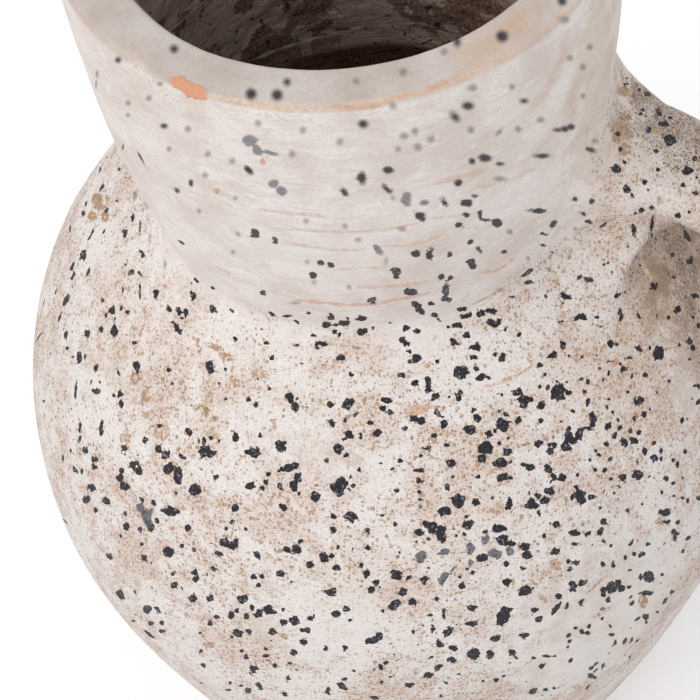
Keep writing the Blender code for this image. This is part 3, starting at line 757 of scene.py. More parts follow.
    (456, 536, 1.5), (416, 542, 1.3), (396, 575, 5.5, 5.2), (410, 577, 3.2, 2, 40), (425, 580, 4, 3.7),
    (467, 569, 1.8), (473, 572, 2.1), (460, 577, 1.8), (462, 585, 3.2, 3.6), (476, 582, 1.1),
    (403, 592, 4.4, 3.4), (395, 604, 7.2, 3.8, 30), (412, 602, 4, 3.8), (437, 599, 2), (383, 612, 1.6),
    (444, 615, 3.2, 4.3), (472, 608, 4.3, 3.6), (431, 615, 2.5, 1.3), (473, 624, 6, 2.9),
    (448, 632, 6, 3.8, 35), (433, 630, 2.9, 2.2, 30), (413, 631, 1.8), (373, 640, 8, 4, 15),
    (379, 637, 4.3), (440, 644, 4.5, 3.4, -40), (453, 648, 4.3, 3), (474, 654, 7, 6), (431, 657, 2),
    (451, 660, 4.1, 3), (437, 668, 5, 2.6, 30), (428, 675, 4.6, 2.9), (386, 662, 3, 2.5), (381, 667, 2.3),
    (374, 670, 1, 1.8), (354, 671, 2, 1), (345, 679, 2.6, 1.9), (342, 686, 5, 3, -35), (328, 691, 3.4, 3),
    (382, 682, 1.6), (390, 677, 2, 1), (409, 685, 4, 2.6), (445, 682, 2.9, 1.1, -35), (441, 696, 1.4),
    (374, 698, 5, 1.8), (499, 529, 5.8, 4.6), (502, 540, 6.3, 6), (511, 543, 5, 2.3, -25),
    (484, 532, 2.5, 2), (524, 547, 5.3, 4.1), (527, 555, 6, 4), (483, 558, 5.6, 4.6), (506, 564, 2.7),
    (523, 568, 2.7, 2), (487, 565, 1.5, 0.8), (506, 582, 4.6, 4.1), (525, 591, 7, 5), (556, 552, 3.3, 4.3),
    (556, 523, 4.1, 3.3, -50), (544, 536, 1.6, 2.5), (534, 610, 3.3, 2.4, 20), (539, 619, 4.1, 2.6, 25),
    (504, 616, 11.5, 6, 62), (496, 638, 5, 3.1, 25), (524, 636, 4, 3.8), (490, 654, 4.1, 4.6),
    (513, 654, 4.5, 3, -50), (534, 658, 1.8, 1.3), (496, 680, 2.7, 1.5, 35), (504, 676, 2.5, 1.5, 35),
    (483, 681, 1.3), (533, 691, 4.6, 2.5, 15), (546, 690, 2.3, 1.5), (554, 688, 2, 1.5),
    (542, 666, 3, 2.3, 50), (546, 656, 4, 1.3), (555, 656, 2, 1),
    # Below the belly's widest level, right.
    (575, 533, 5.3, 4.2), (588, 534, 3.5, 2, 30), (604, 522, 2.8, 3.3), (600, 531, 5, 2.5, 70),
    (604, 541, 3.2, 2.2, -45), (611, 546, 1.6), (575, 544, 3, 1.6), (576, 563, 4.1, 2.8),
    (569, 570, 3.5, 2.6, 50), (568, 562, 1.6, 2.3), (573, 586, 4.5, 5), (582, 583, 4.5, 3.5),
    (603, 564, 1.8, 2.8), (613, 564, 1.8, 2.5), (631, 543, 4.3, 2, 60), (648, 544, 2.6, 2.3),
    (642, 554, 3.8, 2.6, 40), (625, 557, 2.3), (634, 554, 1.6), (675, 532, 3.8, 2.8), (675, 539, 2.3, 2.8),
    (688, 538, 3.3, 1.7, 40), (667, 522, 4.1, 2), (678, 523, 2), (683, 551, 2.3, 1.4, 50),
    (630, 570, 2.3, 1.3), (649, 577, 5.5, 5.8), (641, 577, 2, 3), (647, 593, 6.6, 2.6), (604, 590, 3.5, 3),
    (612, 588, 6, 5.8), (618, 583, 3, 4.5), (621, 588, 4), (629, 587, 2.6, 2), (604, 595, 2.5, 2.2),
    (608, 600, 2.2, 2.5), (631, 597, 2.5, 1.6, 60), (632, 603, 3.2, 2.4, 60), (665, 601, 4, 1.7, 60),
    (672, 592, 3, 1.6, 30), (663, 575, 3, 1.5), (559, 597, 3.6, 2.8), (557, 608, 6.5, 3.2, 50),
    (567, 605, 4, 1.9, 80), (581, 603, 3.6, 2.6, 55), (589, 626, 2.8, 2, 80), (575, 628, 2.1, 1.7),
    (582, 632, 2.4, 2), (588, 633, 2.8, 2), (569, 635, 2.8, 1.7, 40), (569, 641, 2.6, 1.9, 40),
    (568, 647, 1.5, 1.8), (611, 635, 3, 1.6), (615, 643, 3.5, 1.2, 60), (625, 641, 3.5, 1.7, 60),
    (631, 641, 3.2, 1.4, 60), (637, 641, 2.4, 1.4, 45), (637, 619, 3, 1.5, 40), (646, 617, 3.3),
    (646, 622, 2, 1.3, 80), (657, 612, 2, 1.1), (630, 657, 2.8, 1.5, 75), (642, 661, 1.7),
    (571, 661, 3, 1.9, 45), (596, 664, 3.3, 1.4, 45), (591, 668, 2.5, 2), (603, 666, 3, 1.8, 60),
    (596, 670, 3.2, 1.5, 45), (591, 676, 3.3), (595, 678, 2, 2.3), (588, 687, 3.8, 2.2, 50),
    (610, 626, 1.5), (602, 619, 2.3, 1.1, 60),
    # Strap.
    (627, 78, 1.2), (626, 84, 2), (639, 90, 1.6, 2), (648, 94, 4, 2.5), (640, 114, 2.3, 2), (643, 110, 1.4),
    (659, 112, 4.1, 2.6, -65), (670, 118, 2.3, 1.8), (663, 124, 4.6, 2.4), (649, 129, 2.5, 3),
    (670, 140, 5.7), (656, 151, 3.6, 2.4), (616, 169, 4, 4.5), (625, 162, 2), (658, 170, 2.3),
    (688, 171, 4.8, 4.5), (645, 182, 2.5), (683, 185, 2), (627, 190, 4.3, 4), (632, 195, 2.7, 1.5, -60),
    (648, 190, 2, 1.6), (695, 193, 2.5, 2), (695, 158, 2.1), (697, 177, 1.4), (651, 207, 2.9, 3),
    (641, 210, 3.6, 2.1), (678, 216, 3, 2.5), (689, 212, 1.2), (617, 134, 2), (620, 150, 2, 2.5),
    (635, 213, 1.3),
    # Wall under the strap.
    (634, 230, 3.2, 2, -75), (652, 223, 4, 1.4, 85), (652, 237, 2.8, 1.7, -55), (628, 247, 3, 1, 80),
    (687, 236, 5.6, 3, -60), (672, 255, 1.8), (690, 261, 4, 2.6, 70), (668, 274, 3, 1.8, -60),
    (674, 277, 1.6), (654, 286, 3.6), (695, 296, 3), (677, 309, 3.6), (669, 318, 1.6), (693, 317, 1.4),
    (638, 315, 2.9, 1.8, -60), (617, 295, 4.5, 2.7), (619, 312, 3), (621, 318, 3.6, 2.1, 80),
    (625, 292, 1.6), (640, 265, 1.2), (698, 326, 2.1), (582, 317, 5.4, 3.9), (597, 317, 3.2, 1.8),
    (566, 296, 4.5, 2, -30), (569, 298, 1.8), (561, 322, 2.1, 1),
)
SMOKY_SPOTS = (
    (250, 141, 7, 6), (257, 150, 6, 4, -40), (270, 153, 7, 2, -15), (274, 184, 5, 4),
    (281, 191, 6, 4.5, -45), (406, 199, 5, 6.5), (424, 203, 4.5, 2.5), (378, 250, 7, 3, -45),
    (249, 170, 4, 2.2, -45),
)
BLUE_SPOTS = (
    (141, 508, 7, 3.5, -60), (146, 517, 9, 4.5, -75), (149, 525, 5, 3.5, -60), (151, 511, 4, 1.5, 70),
    (444, 552, 6, 3.2), (470, 547, 3.8, 6), (421, 557, 6.5, 5.3), (398, 557, 2.1, 1.5), (470, 561, 2.7, 3),
    (485, 540, 4.3, 5), (495, 554, 6.6, 4.6), (510, 552, 4, 4.3), (444, 578, 7.5, 4, 45),
    (452, 570, 4, 1, 50), (603, 609, 3, 1.3), (421, 507, 1.7),
)

# Each stretch of a worn line reaches this share of its length both ways from its middle, to overlap.
STRETCH_SHARE = 0.56

# Worn lines and brush ridges: tone, half width in pixels, softness in millimetres, strength, points.
STROKES = (
    ("cream_line", 2.6, 0.5, 0.75, ((210, 96), (232, 100), (250, 103), (275, 108), (308, 110), (330, 109))),
    ("orange", 2.4, 0.5, 0.6, (
        (330, 107), (356, 108), (382, 105), (392, 98), (407, 95), (421, 93), (450, 79),
    )),
    ("peach", 2.0, 0.7, 0.4, ((450, 79), (470, 74), (490, 63), (509, 50))),
    ("orange", 1.4, 0.35, 0.65, (
        (301, 300), (330, 303), (347, 305), (373, 304), (399, 299), (416, 296), (428, 293),
    )),
    ("peach", 1.6, 0.5, 0.5, ((265, 210), (293, 213), (330, 217))),
    ("peach", 1.3, 0.4, 0.6, ((294, 229), (330, 232), (351, 232), (380, 230), (412, 225))),
    ("peach", 1.8, 0.5, 0.6, ((387, 246), (407, 245), (426, 241), (442, 234))),
    ("peach", 1.2, 0.4, 0.5, ((289, 243), (330, 250), (364, 250))),
    ("peach", 1.4, 0.4, 0.5, ((339, 269), (364, 268), (385, 267))),
    ("peach", 1.6, 0.4, 0.55, ((359, 287), (382, 287), (399, 286), (426, 282))),
    ("peach", 1.2, 0.4, 0.5, ((432, 218), (446, 217), (461, 215))),
    ("orange", 3.0, 1.0, 0.35, ((437, 182), (468, 175), (485, 170))),
    ("peach", 2.0, 0.7, 0.45, ((473, 187), (495, 185))),
    ("peach", 1.6, 0.6, 0.35, ((505, 182), (519, 177), (533, 168))),
    ("orange", 1.3, 0.3, 0.6, ((480, 273), (495, 271), (509, 263), (513, 258))),
    ("orange", 1.2, 0.25, 0.7, ((473, 304), (490, 296), (502, 289))),
    ("cream", 1.3, 0.2, 0.8, ((478, 305), (486, 302), (493, 297))),
    ("peach", 1.2, 0.4, 0.5, ((215, 266), (222, 270), (232, 275))),
    ("cream", 1.5, 0.4, 0.8, ((222, 274), (250, 282), (275, 291), (308, 300))),
    ("cream", 2.2, 0.5, 0.8, ((236, 193), (246, 194), (255, 199))),
    ("cream", 4.0, 2.0, 0.6, ((132, 65), (145, 76), (157, 86), (174, 100), (191, 112))),
    ("cream", 3.5, 0.8, 0.8, ((258, 114), (280, 117), (305, 119))),
    ("cream", 1.4, 0.4, 0.7, ((120, 157), (136, 181), (157, 215), (170, 246))),
    ("cream", 2.5, 0.4, 0.7, ((466, 231), (478, 226), (488, 222))),
    ("cream", 3.0, 0.6, 0.6, ((467, 278), (468, 290), (463, 302))),
    ("cream", 2.5, 0.4, 0.7, ((509, 244), (514, 240))),
    ("tan", 5.0, 1.6, 0.25, ((562, 60), (548, 88), (528, 114))),
    ("tan", 4.0, 1.6, 0.22, ((585, 70), (560, 120), (540, 150))),
    ("peach", 1.6, 0.15, 0.7, ((484, 387), (498, 384), (513, 377), (532, 366))),
    ("cream", 2.4, 0.2, 0.9, ((577, 595), (595, 581), (612, 566))),
    ("tan", 1.2, 0.15, 0.7, ((588, 592), (600, 581), (608, 574))),
    ("orange", 1.6, 0.2, 0.6, ((593, 617), (604, 611), (612, 606))),
    ("cream", 2.2, 0.2, 0.8, ((532, 640), (546, 631), (562, 619))),
    ("cream", 1.2, 0.2, 0.7, ((482, 642), (510, 634), (533, 622))),
    ("tan", 0.8, 0.1, 0.7, ((513, 674), (523, 666), (533, 659))),
    ("tan", 0.6, 0.05, 0.8, ((235, 520), (231, 538), (227, 555), (235, 564))),
    ("flake", 3.2, 0.1, 1.0, ((640, 235), (641, 246), (641, 258), (645, 268), (651, 280))),
    ("crack", 0.55, 0.1, 1.0, (
        (335, 62), (350, 59), (365, 56), (371, 53), (400, 49), (416, 46), (430, 41), (436, 36),
    )),
    ("crack", 0.5, 0.2, 0.9, ((372, 26), (388, 27), (410, 26), (432, 28), (452, 32))),
    ("slip", 1.7, 0.6, 1.0, ((258, 58), (278, 50), (300, 43), (324, 37), (350, 31), (372, 25))),
    ("slip", 0.8, 0.4, 0.7, ((372, 19), (392, 18), (416, 21), (440, 24))),
    ("slip", 1.0, 0.4, 0.7, ((232, 32), (244, 18), (256, 8), (272, 2))),
    ("slip", 0.7, 0.3, 0.6, ((206, 44), (222, 30), (238, 14))),
    ("slip", 0.7, 0.3, 0.6, ((172, 30), (190, 14), (206, 0))),
    ("crack", 0.5, 0.2, 0.8, ((318, 4), (326, 12), (334, 6), (342, 14))),
)

# Worn patches, crumbs and blisters: tone, softness in millimetres, strength, and ellipses as for the spots.
PATCHES = (
    ("chip", 0.25, 1.0, ((179, 82, 9, 6, -32), (188, 88, 13, 7.5, -28), (198, 94, 10, 6.5, -20))),
    ("peach", 0.15, 1.0, ((420, 409, 13, 5, 14),)),
    ("crust", 0.3, 0.8, ((97, 199, 6), (100, 207, 6, 4), (92, 216, 4, 6), (105, 216, 4, 6), (107, 198, 2.5))),
    ("cream", 0.2, 0.9, ((93, 210, 3, 2), (104, 202, 2, 3))),
    ("crust", 0.4, 0.72, (
        (216, 348, 9, 3, -20), (226, 356, 8, 4, -20), (208, 645, 6, 3), (659, 522, 4, 3), (643, 602, 5, 7),
        (135, 378, 5, 7),
    )),
    ("crust", 0.4, 0.72, ((145, 398, 4, 8), (278, 550, 6, 2, -15), (283, 636, 7, 1.8, -30), (624, 91, 5))),
    ("crust", 0.4, 0.7, (
        (620, 128, 6, 8), (616, 138, 5, 5), (624, 118, 5, 3), (627, 134, 6, 5), (625, 150, 5, 7),
    )),
    ("olive", 0.3, 0.76, (
        (635, 415, 4), (207, 410, 3), (213, 419, 3, 4), (198, 407, 6, 3, -20), (205, 413, 4),
    )),
    ("blister", 0.3, 0.68, (
        (259, 375, 9, 5.5), (162, 432, 8, 9), (149, 416, 7, 4.5), (212, 433, 6), (554, 564, 5.5),
    )),
    ("blister", 0.3, 0.68, ((654, 131, 3.5), (659, 199, 2.5), (125, 438, 6), (453, 453, 3), (543, 599, 4))),
    ("cream", 0.15, 0.9, ((600, 555, 4.5, 3.8), (265, 131, 4, 3))),
    ("cream", 0.5, 0.75, ((533, 647, 9, 6), (597, 507, 11, 8, 20), (612, 499, 12, 9), (628, 494, 13, 8, 15))),
    ("orange", 0.1, 0.9, ((616, 362, 3.5), (127, 348, 1.2), (263, 161, 3), (217, 191, 2.5), (414, 582, 1.6))),
    ("orange", 0.3, 0.6, ((538, 633, 5, 2), (577, 687, 5, 3), (594, 196, 2), (592, 184, 1.6))),
)

# Broad soft tints, in the same form: stains, with painted shade on the strap's top and painted light on the
# neck's lower front.
STAINS_AND_PAINTED_LIGHT = (
    ("tan", 4.0, 0.55, (
        (589, 384, 26, 18, 30), (205, 428, 20, 30), (640, 300, 34, 40), (560, 352, 22, 12, 30),
    )),
    ("tan", 5.0, 0.35, (
        (120, 300, 30, 50, 10), (235, 395, 34, 20), (600, 370, 60, 30, 20), (240, 640, 50, 14),
    )),
    ("tan", 5.0, 0.25, ((480, 520, 40, 60), (360, 580, 60, 30), (150, 400, 16, 30))),
    # Painted shade: the strap's top darkens toward its far edge, over its own tan grit.
    ("shade", 4.0, 1.0, ((672, 116, 46, 17, -32), (668, 104, 50, 12, -33))),
    ("tan", 5.0, 0.5, ((630, 390, 50, 50), (500, 30, 44, 10, 32))),
    # Painted shade over the strap's middle.
    ("shade", 5.0, 0.95, ((672, 142, 48, 26, -30),)),
    # Painted light: the lower front of the neck is lightened where it tilts down and would render darker.
    ("cream", 5.0, 0.45, ((322, 262, 80, 26),)),
    ("shade", 3.0, 0.6, ((622, 126, 13, 22), (640, 96, 14, 7, -35))),
    ("tan", 4.0, 0.5, ((495, 44, 36, 10, 35),)),
    # Painted shade lower on the strap's middle.
    ("shade", 6.0, 0.42, ((672, 172, 46, 15, -14),)),
    ("tan", 8.0, 0.32, ((596, 120, 26, 110, -4), (585, 250, 40, 30, 20))),
    ("cream", 4.0, 0.5, ((684, 392, 20, 28), (245, 360, 9), (285, 372, 9, 7), (660, 205, 40, 14, -15))),
    ("cream", 6.0, 0.7, ((622, 606, 76, 46, 42), (575, 655, 60, 40, 30))),
    ("cream", 6.0, 0.4, ((320, 450, 60, 34), (300, 625, 60, 34))),
    ("cream", 6.0, 0.3, (
        (80, 380, 24, 50, 80), (330, 640, 60, 24), (180, 250, 30, 60, 40), (540, 620, 50, 20, 30),
    )),
)

# The lining inside the mouth: how much more bare clay there is than slip, and ellipses as for the spots.
LINING = (
    (-0.16, ((150, 10, 30, 16, 30), (200, 30, 36, 14, 35), (255, 20, 8, 34, -40), (370, 8, 40, 8))),
    (-0.14, ((400, 44, 60, 8, 8), (330, 40, 46, 5, 14))),
    (0.16, (
        (268, 40, 20, 20), (240, 8, 12, 12, 45), (306, 10, 26, 12, 30), (282, 56, 40, 6, 8),
        (326, 44, 24, 10, 30),
    )),
    (0.08, ((440, 16, 40, 20, 30),)),
)


# A point counts as seen when it falls in the frame or this near it, and lies this near to what is hit.
FRAME_MARGIN = 8
SAME_PLACE = 14 * MM

# A mark that is seen at a slant grows to no more than this many times its width.
MOST_STRETCH = 3.0


class Sight:
    """Finds what lies behind a pixel of the photograph, and which points the photograph shows."""

    def __init__(self, camera, pieces):
        self.place = np.array(camera.location)
        self.right, self.up, self.back = np.array(camera.matrix_world.to_3x3()).T
        points = []
        faces = []
        normals = []
        for piece in pieces:
            faces += (piece.faces + len(points)).tolist()
            points += piece.points.tolist()
            normals.append(piece.normals[piece.faces].sum(axis=1))
        self.tree = BVHTree.FromPolygons(points, faces)
        self.normals = unit(np.concatenate(normals))

    def ray(self, x, y):
        half = FRAME_PIXELS / 2
        return unit(self.right * (x - half) - self.up * (y - half) - self.back * FOCAL_PIXELS)

    def hit(self, x, y):
        """The point behind the pixel, and the smooth surface's normal there."""
        point, _, face, _ = self.tree.ray_cast(Vector(self.place), Vector(self.ray(x, y)))
        return (None, None) if point is None else (np.array(point), self.normals[face])

    def on_plane(self, x, y, point, normal):
        ray = self.ray(x, y)
        return self.place + ray * ((point - self.place) @ normal) / (ray @ normal)

    def ellipse(self, x, y, half_width, half_height=None, turn=0.0):
        """An ellipse of the photograph as it falls on the clay: its centre, normal and two half axes."""
        centre, normal = self.hit(x, y)
        if centre is None:
            return None
        cosine, sine = math.cos(math.radians(turn)), math.sin(math.radians(turn))
        half_height = half_height or half_width
        ends = []
        for dx, dy in ((cosine * half_width, -sine * half_width), (sine * half_height, cosine * half_height)):
            end = self.on_plane(x + dx, y + dy, centre, normal) - centre
            flat = math.hypot(dx, dy) * np.linalg.norm(centre - self.place) / FOCAL_PIXELS
            ends.append(end * min(1.0, MOST_STRETCH * flat / np.linalg.norm(end)))
        return centre, normal, *ends

    def shows(self, point):
        """True where nothing stands between the photograph's camera and this point."""
        away = point - self.place
        depth = -away @ self.back
        x = FRAME_PIXELS / 2 + FOCAL_PIXELS * (away @ self.right) / depth
        y = FRAME_PIXELS / 2 - FOCAL_PIXELS * (away @ self.up) / depth
        if not all(-FRAME_MARGIN < pixel < FRAME_PIXELS + FRAME_MARGIN for pixel in (x, y)):
            return False
        found, _ = self.hit(x, y)
        return found is not None and np.linalg.norm(found - point) < SAME_PLACE


# How far a ragged edge can reach, how squarely a face looks the mark's way, and a place outside every mark.
RAGGED_MARGIN = 2.4 * MM
LEAST_FACING = 0.3
FAR_OUTSIDE = 9.0


class Marks:
    """Marks of one kind. Each is an ellipse on the surface with its own softness, strength and tone."""

    def __init__(self, name, layers):
        self.name = name
        self.layers = layers
        self.centres = []
        self.normals = []
        self.axes = []
        self.reaches = []
        self.strengths = []
        self.looks = []

    def add(self, centre, normal, long_axis, short_axis, soft, strength, tone):
        """The two half axes are vectors along the surface. Soft is the edge's half width in metres."""
        radius = min(np.linalg.norm(long_axis), np.linalg.norm(short_axis))
        self.centres.append(centre)
        self.normals.append(normal)
        self.axes.append(np.linalg.pinv(np.stack([long_axis, short_axis], axis=1)))
        longest = max(np.linalg.norm(long_axis), np.linalg.norm(short_axis))
        self.reaches.append(1.3 * longest + RAGGED_MARGIN + soft)
        self.strengths.append(strength)
        self.looks.append((radius / MM, soft / MM, (TONE_NAMES.index(tone) + 0.5) / len(TONE_NAMES)))

    def add_seen(self, ellipse, soft, strength=1.0, tone="black"):
        """A mark where an ellipse of the photograph falls on the clay, unless it misses."""
        if ellipse:
            self.add(*ellipse, soft, strength, tone)

    def add_turned(self, centre, normal, radius, stretch, turn, soft):
        """A black mark of this radius in metres, stretched at this angle from level."""
        level = np.cross((0.0, 0.0, 1.0), normal)
        length = np.linalg.norm(level)
        level = level / length if length > 1e-6 else np.array([1.0, 0.0, 0.0])
        rising = np.cross(normal, level)
        along = level * math.cos(turn) + rising * math.sin(turn)
        across = np.cross(normal, along)
        self.add(centre, normal, along * radius * stretch, across * radius / stretch, soft, 1.0, "black")

    def claim(self, piece, tree):
        """Give each face the marks whose edges lie nearest to it, one for each layer."""
        chosen = np.full((self.layers, len(piece.faces)), -1)
        gaps = np.full((self.layers, len(piece.faces)), np.inf)
        for k, centre in enumerate(self.centres):
            found = [item[1] for item in tree.find_range(centre.tolist(), self.reaches[k])]
            found = np.array(found, int)
            found = found[piece.facing[found] @ self.normals[k] > LEAST_FACING]
            inside = (piece.centres[found] - centre) @ self.axes[k].T
            gap = (np.hypot(inside[:, 0], inside[:, 1]) - 1) * self.looks[k][0]
            for layer in range(self.layers):
                nearer = gap < gaps[layer, found]
                at = found[nearer]
                for later in range(self.layers - 1, layer, -1):
                    chosen[later, at] = chosen[later - 1, at]
                    gaps[later, at] = gaps[later - 1, at]
                chosen[layer, at] = k
                gaps[layer, at] = gap[nearer]
                found, inside, gap = found[~nearer], inside[~nearer], gap[~nearer]
        return chosen

    def write(self, mesh, piece, tree):
        """Write each corner's place inside its face's marks, where 1 is the edge, and the marks' looks."""
        chosen = self.claim(piece, tree)
        for layer in range(self.layers):
            place = np.zeros((len(mesh.loops), 3), np.float32)
            place[:, 0] = FAR_OUTSIDE
            look = np.ones((len(mesh.loops), 3), np.float32)
            marked = np.nonzero(chosen[layer] >= 0)[0]
            which = chosen[layer][marked]
            if len(marked):
                away = piece.points[piece.faces[marked]] - np.array(self.centres)[which][:, None, :]
                inside = np.einsum("fcj,fij->fci", away, np.array(self.axes)[which])
                corners = marked[:, None] * 4 + np.arange(4)
                place[corners, :2] = inside
                place[corners, 2] = np.array(self.strengths)[which][:, None]
                look[corners] = np.array(self.looks)[which][:, None, :]
            for kind, values in (("place", place), ("look", look)):
                attribute = mesh.attributes.new(f"{self.name}_{kind}_{layer}", "FLOAT_VECTOR", "CORNER")
                attribute.data.foreach_set("vector", values.ravel())


def build_mesh(piece, material, marks):
    mesh = bpy.data.meshes.new(piece.name)
    mesh.from_pydata(piece.points.tolist(), [], piece.faces.tolist() + piece.extra_faces)
    mesh.materials.append(material)
    mesh.shade_smooth()
    tree = KDTree(len(piece.centres))
    for i, centre in enumerate(piece.centres.tolist()):
        tree.insert(centre, i)
    tree.balance()
    for kind in marks:
        kind.write(mesh, piece, tree)
    inside = mesh.attributes.new("inside", "FLOAT", "POINT")
    inside.data.foreach_set("value", piece.inside.astype(np.float32))
    mesh.normals_split_custom_set_from_vertices(piece.normals.tolist())
    obj = bpy.data.objects.new(piece.name, mesh)
    bpy.context.scene.collection.objects.link(obj)
    return obj


# Tones of the marks, as sRGB values.
TONES = {
    "black": (38, 35, 40),
    "brown": (104, 90, 84),
    "blue": (100, 103, 115),
    "tan": (198, 165, 134),
    "orange": (219, 170, 138),
    "chip": (221, 161, 128),
    "peach": (226, 194, 168),
    "cream_line": (228, 206, 182),
    "cream": (238, 232, 228),
    "olive": (172, 144, 102),
    "crust": (184, 148, 108),
    "blister": (206, 174, 142),
    "flake": (246, 234, 218),
    # Painted shade, laid mostly on the strap's top.
    "shade": (140, 112, 88),
    "slip": (186, 170, 158),
    "crack": (26, 20, 18),
}
TONE_NAMES = list(TONES)

# Colours of the washes, the clay and the worn paint, as sRGB values; some carry painted shade, as noted.
PLASTER = (237, 231, 228)
PLASTER_SHADE = (223, 207, 198)
PLASTER_SPECK = (200, 184, 173)
PLASTER_GLINT = (247, 244, 243)
# Bare clay under the strap, darkened with painted shade where the strap shades the wall.
BARE_CLAY_AND_SHADE_PALE = (228, 207, 185)
BARE_CLAY_AND_SHADE_DARK = (142, 114, 90)
GRAIN_DULL = (166, 138, 114)
GRAIN_PALE = (246, 236, 222)
GRAIN_TAN = (202, 163, 126)
GRAIN_ORANGE = (214, 156, 100)
GRAIN_BROWN = (104, 80, 62)
BRUSHED = (236, 229, 226)
BRUSHED_SHADE = (222, 210, 203)
BRUSHED_STREAK = (212, 194, 182)
BRUSHED_SPECK = (206, 190, 180)
BRUSHED_RIDGE = (247, 243, 241)
# The lip's top: its own grey with painted shade.
LIP_GREY_AND_SHADE_PALE = (203, 193, 188)
LIP_GREY_AND_SHADE_DARK = (187, 174, 166)
LIP_SPECK = (176, 162, 154)
RIM_CREAM = (228, 206, 182)
RIM_ORANGE = (222, 182, 150)
SLIP_DARK = (136, 119, 108)
SLIP_LIGHT = (162, 145, 134)
SLIP_SPECK = (124, 105, 94)
CLAY_DARK = (82, 61, 53)
CLAY_LIGHT = (112, 89, 79)
CLAY_GRAIN = (152, 130, 116)
PIT = (40, 30, 27)
PATCH_FLECK = (176, 134, 102)
# Painted shade for crevices in crumbly patches.
CREVICE_SHADE = (128, 98, 70)
PAINT_CRUMB = (62, 60, 67)
PAINT_LUMP = (46, 45, 52)
PAINT_WORN = (150, 150, 158)
FLOOR_GREY = (232, 232, 233)
WHITE = (255, 255, 255)
WARM_WHITE = (255, 252, 249)

# Sizes of the textures: grains of the wash and of the clay inside, and specks too fine for the mesh.
SAND_GRAINS = (1.6 * MM, 1.0 * MM)
CLAY_GRAINS = 1.2 * MM
PLASTER_SPECKS = 0.45 * MM
SPECKS = 0.6 * MM

# Painted light: the deepest wall inside is painted this much paler, as the photograph shows it, though little
# light reaches it.
DEEP_PAINTED_LIGHT = 2.6
BUMP_DEPTH = 0.45 * MM


def linear(red, green, blue):
    """An sRGB colour from 0 to 255 as the shader's linear colour."""
    parts = [value / 255 for value in (red, green, blue)]
    return [part / 12.92 if part <= 0.04045 else ((part + 0.055) / 1.055) ** 2.4 for part in parts] + [1.0]


class Graph:
    """Short calls that add shader nodes and join them."""

    def __init__(self, tree):
        self.tree = tree
        tree.nodes.clear()
        self.place = self.node("ShaderNodeTexCoord").outputs["Object"]

    def node(self, kind, inputs=None, **settings):
        node = self.tree.nodes.new(kind)
        for name, value in settings.items():
            setattr(node, name, value)
        for socket, value in (inputs or {}).items():
            if isinstance(value, bpy.types.NodeSocket):
                self.tree.links.new(value, node.inputs[socket])
            else:
                node.inputs[socket].default_value = value
        return node

    def math(self, operation, a, b=0.0, c=0.0):
        return self.node("ShaderNodeMath", {0: a, 1: b, 2: c}, operation=operation).outputs[0]

    def times(self, product, *factors):
        for factor in factors:
            product = self.math("MULTIPLY", product, factor)
        return product

    def plus(self, total, *terms):
        for term in terms:
            total = self.math("ADD", total, term)
        return total

    def minus(self, a, b):
        return self.math("SUBTRACT", a, b)

    def length(self, a, b):
        return self.math("SQRT", self.plus(self.times(a, a), self.times(b, b)))

    def parts(self, vector):
        return self.node("ShaderNodeSeparateXYZ", {0: vector}).outputs

    def vector_math(self, operation, inputs):
        return self.node("ShaderNodeVectorMath", inputs, operation=operation).outputs[0]

    def stretched(self, x, y, z):
        """The object's coordinates, each multiplied by its own factor."""
        return self.vector_math("MULTIPLY", {0: self.place, 1: (x, y, z)})

    def noise(self, size, detail=2.0, roughness=0.5, distortion=0.0, place=None):
        """Noise from 0 to 1, in lumps of about this size in metres."""
        inputs = {"Vector": place or self.place, "Scale": 0.5 / size, "Detail": detail}
        inputs.update({"Roughness": roughness, "Distortion": distortion})
        return self.node("ShaderNodeTexNoise", inputs).outputs["Fac"]

    def wobble(self, size, detail, depth=1.0):
        """The same noise, centred on 0 and this deep from its lowest to its highest."""
        return self.times(self.minus(self.noise(size, detail), 0.5), depth)

    def step(self, value, low, high):
        """Rises smoothly from 0 at low to 1 at high."""
        inputs = {"Value": value, "From Min": low, "From Max": high}
        return self.node("ShaderNodeMapRange", inputs, interpolation_type="SMOOTHSTEP").outputs["Result"]

    def mix(self, share, a, b):
        """From one colour to another. Each is a socket or an sRGB colour."""
        inputs = {0: share, 6: a, 7: b}
        inputs.update({index: linear(*value) for index, value in inputs.items() if isinstance(value, tuple)})
        return self.node("ShaderNodeMix", inputs, data_type="RGBA").outputs[2]

    def tint(self, base, colour, mask, strength):
        """The base, with this strength of the colour where the mask is 1."""
        return self.mix(self.times(mask, strength), base, colour)

    def blend(self, share, a, b):
        """From one plain number to another."""
        return self.node("ShaderNodeMix", {0: share, 2: a, 3: b}, data_type="FLOAT").outputs[0]

    def attribute(self, name, output):
        node = self.node("ShaderNodeAttribute", attribute_name=name, attribute_type="GEOMETRY")
        return node.outputs[output]

    def finish(self, surface):
        output = self.node("ShaderNodeOutputMaterial")
        self.tree.links.new(surface, output.inputs["Surface"])


def mark_layer(graph, name, layer, jagged):
    """One layer's cover from 0 to 1, its strength, its edge gap in millimetres, its softness and its tone."""
    across, up, strength = graph.parts(graph.attribute(f"{name}_place_{layer}", "Vector"))
    radius, soft, tone = graph.parts(graph.attribute(f"{name}_look_{layer}", "Vector"))
    distance = graph.minus(graph.length(across, up), 1.0)
    gap = graph.plus(graph.times(distance, radius), jagged(radius, soft))
    cover = graph.math("DIVIDE", graph.minus(soft, gap), graph.times(soft, 2.0))
    return graph.step(cover, 0.0, 1.0), strength, gap, soft, tone


def tone_colour(graph, tone):
    ramp = graph.node("ShaderNodeValToRGB", {0: tone})
    ramp.color_ramp.interpolation = "CONSTANT"
    elements = ramp.color_ramp.elements
    for i, colour in enumerate(TONES.values()):
        element = elements[i] if i < 2 else elements.new(0.99)
        element.position = i / len(TONES)
        element.color = linear(*colour)
    return ramp.outputs["Color"]


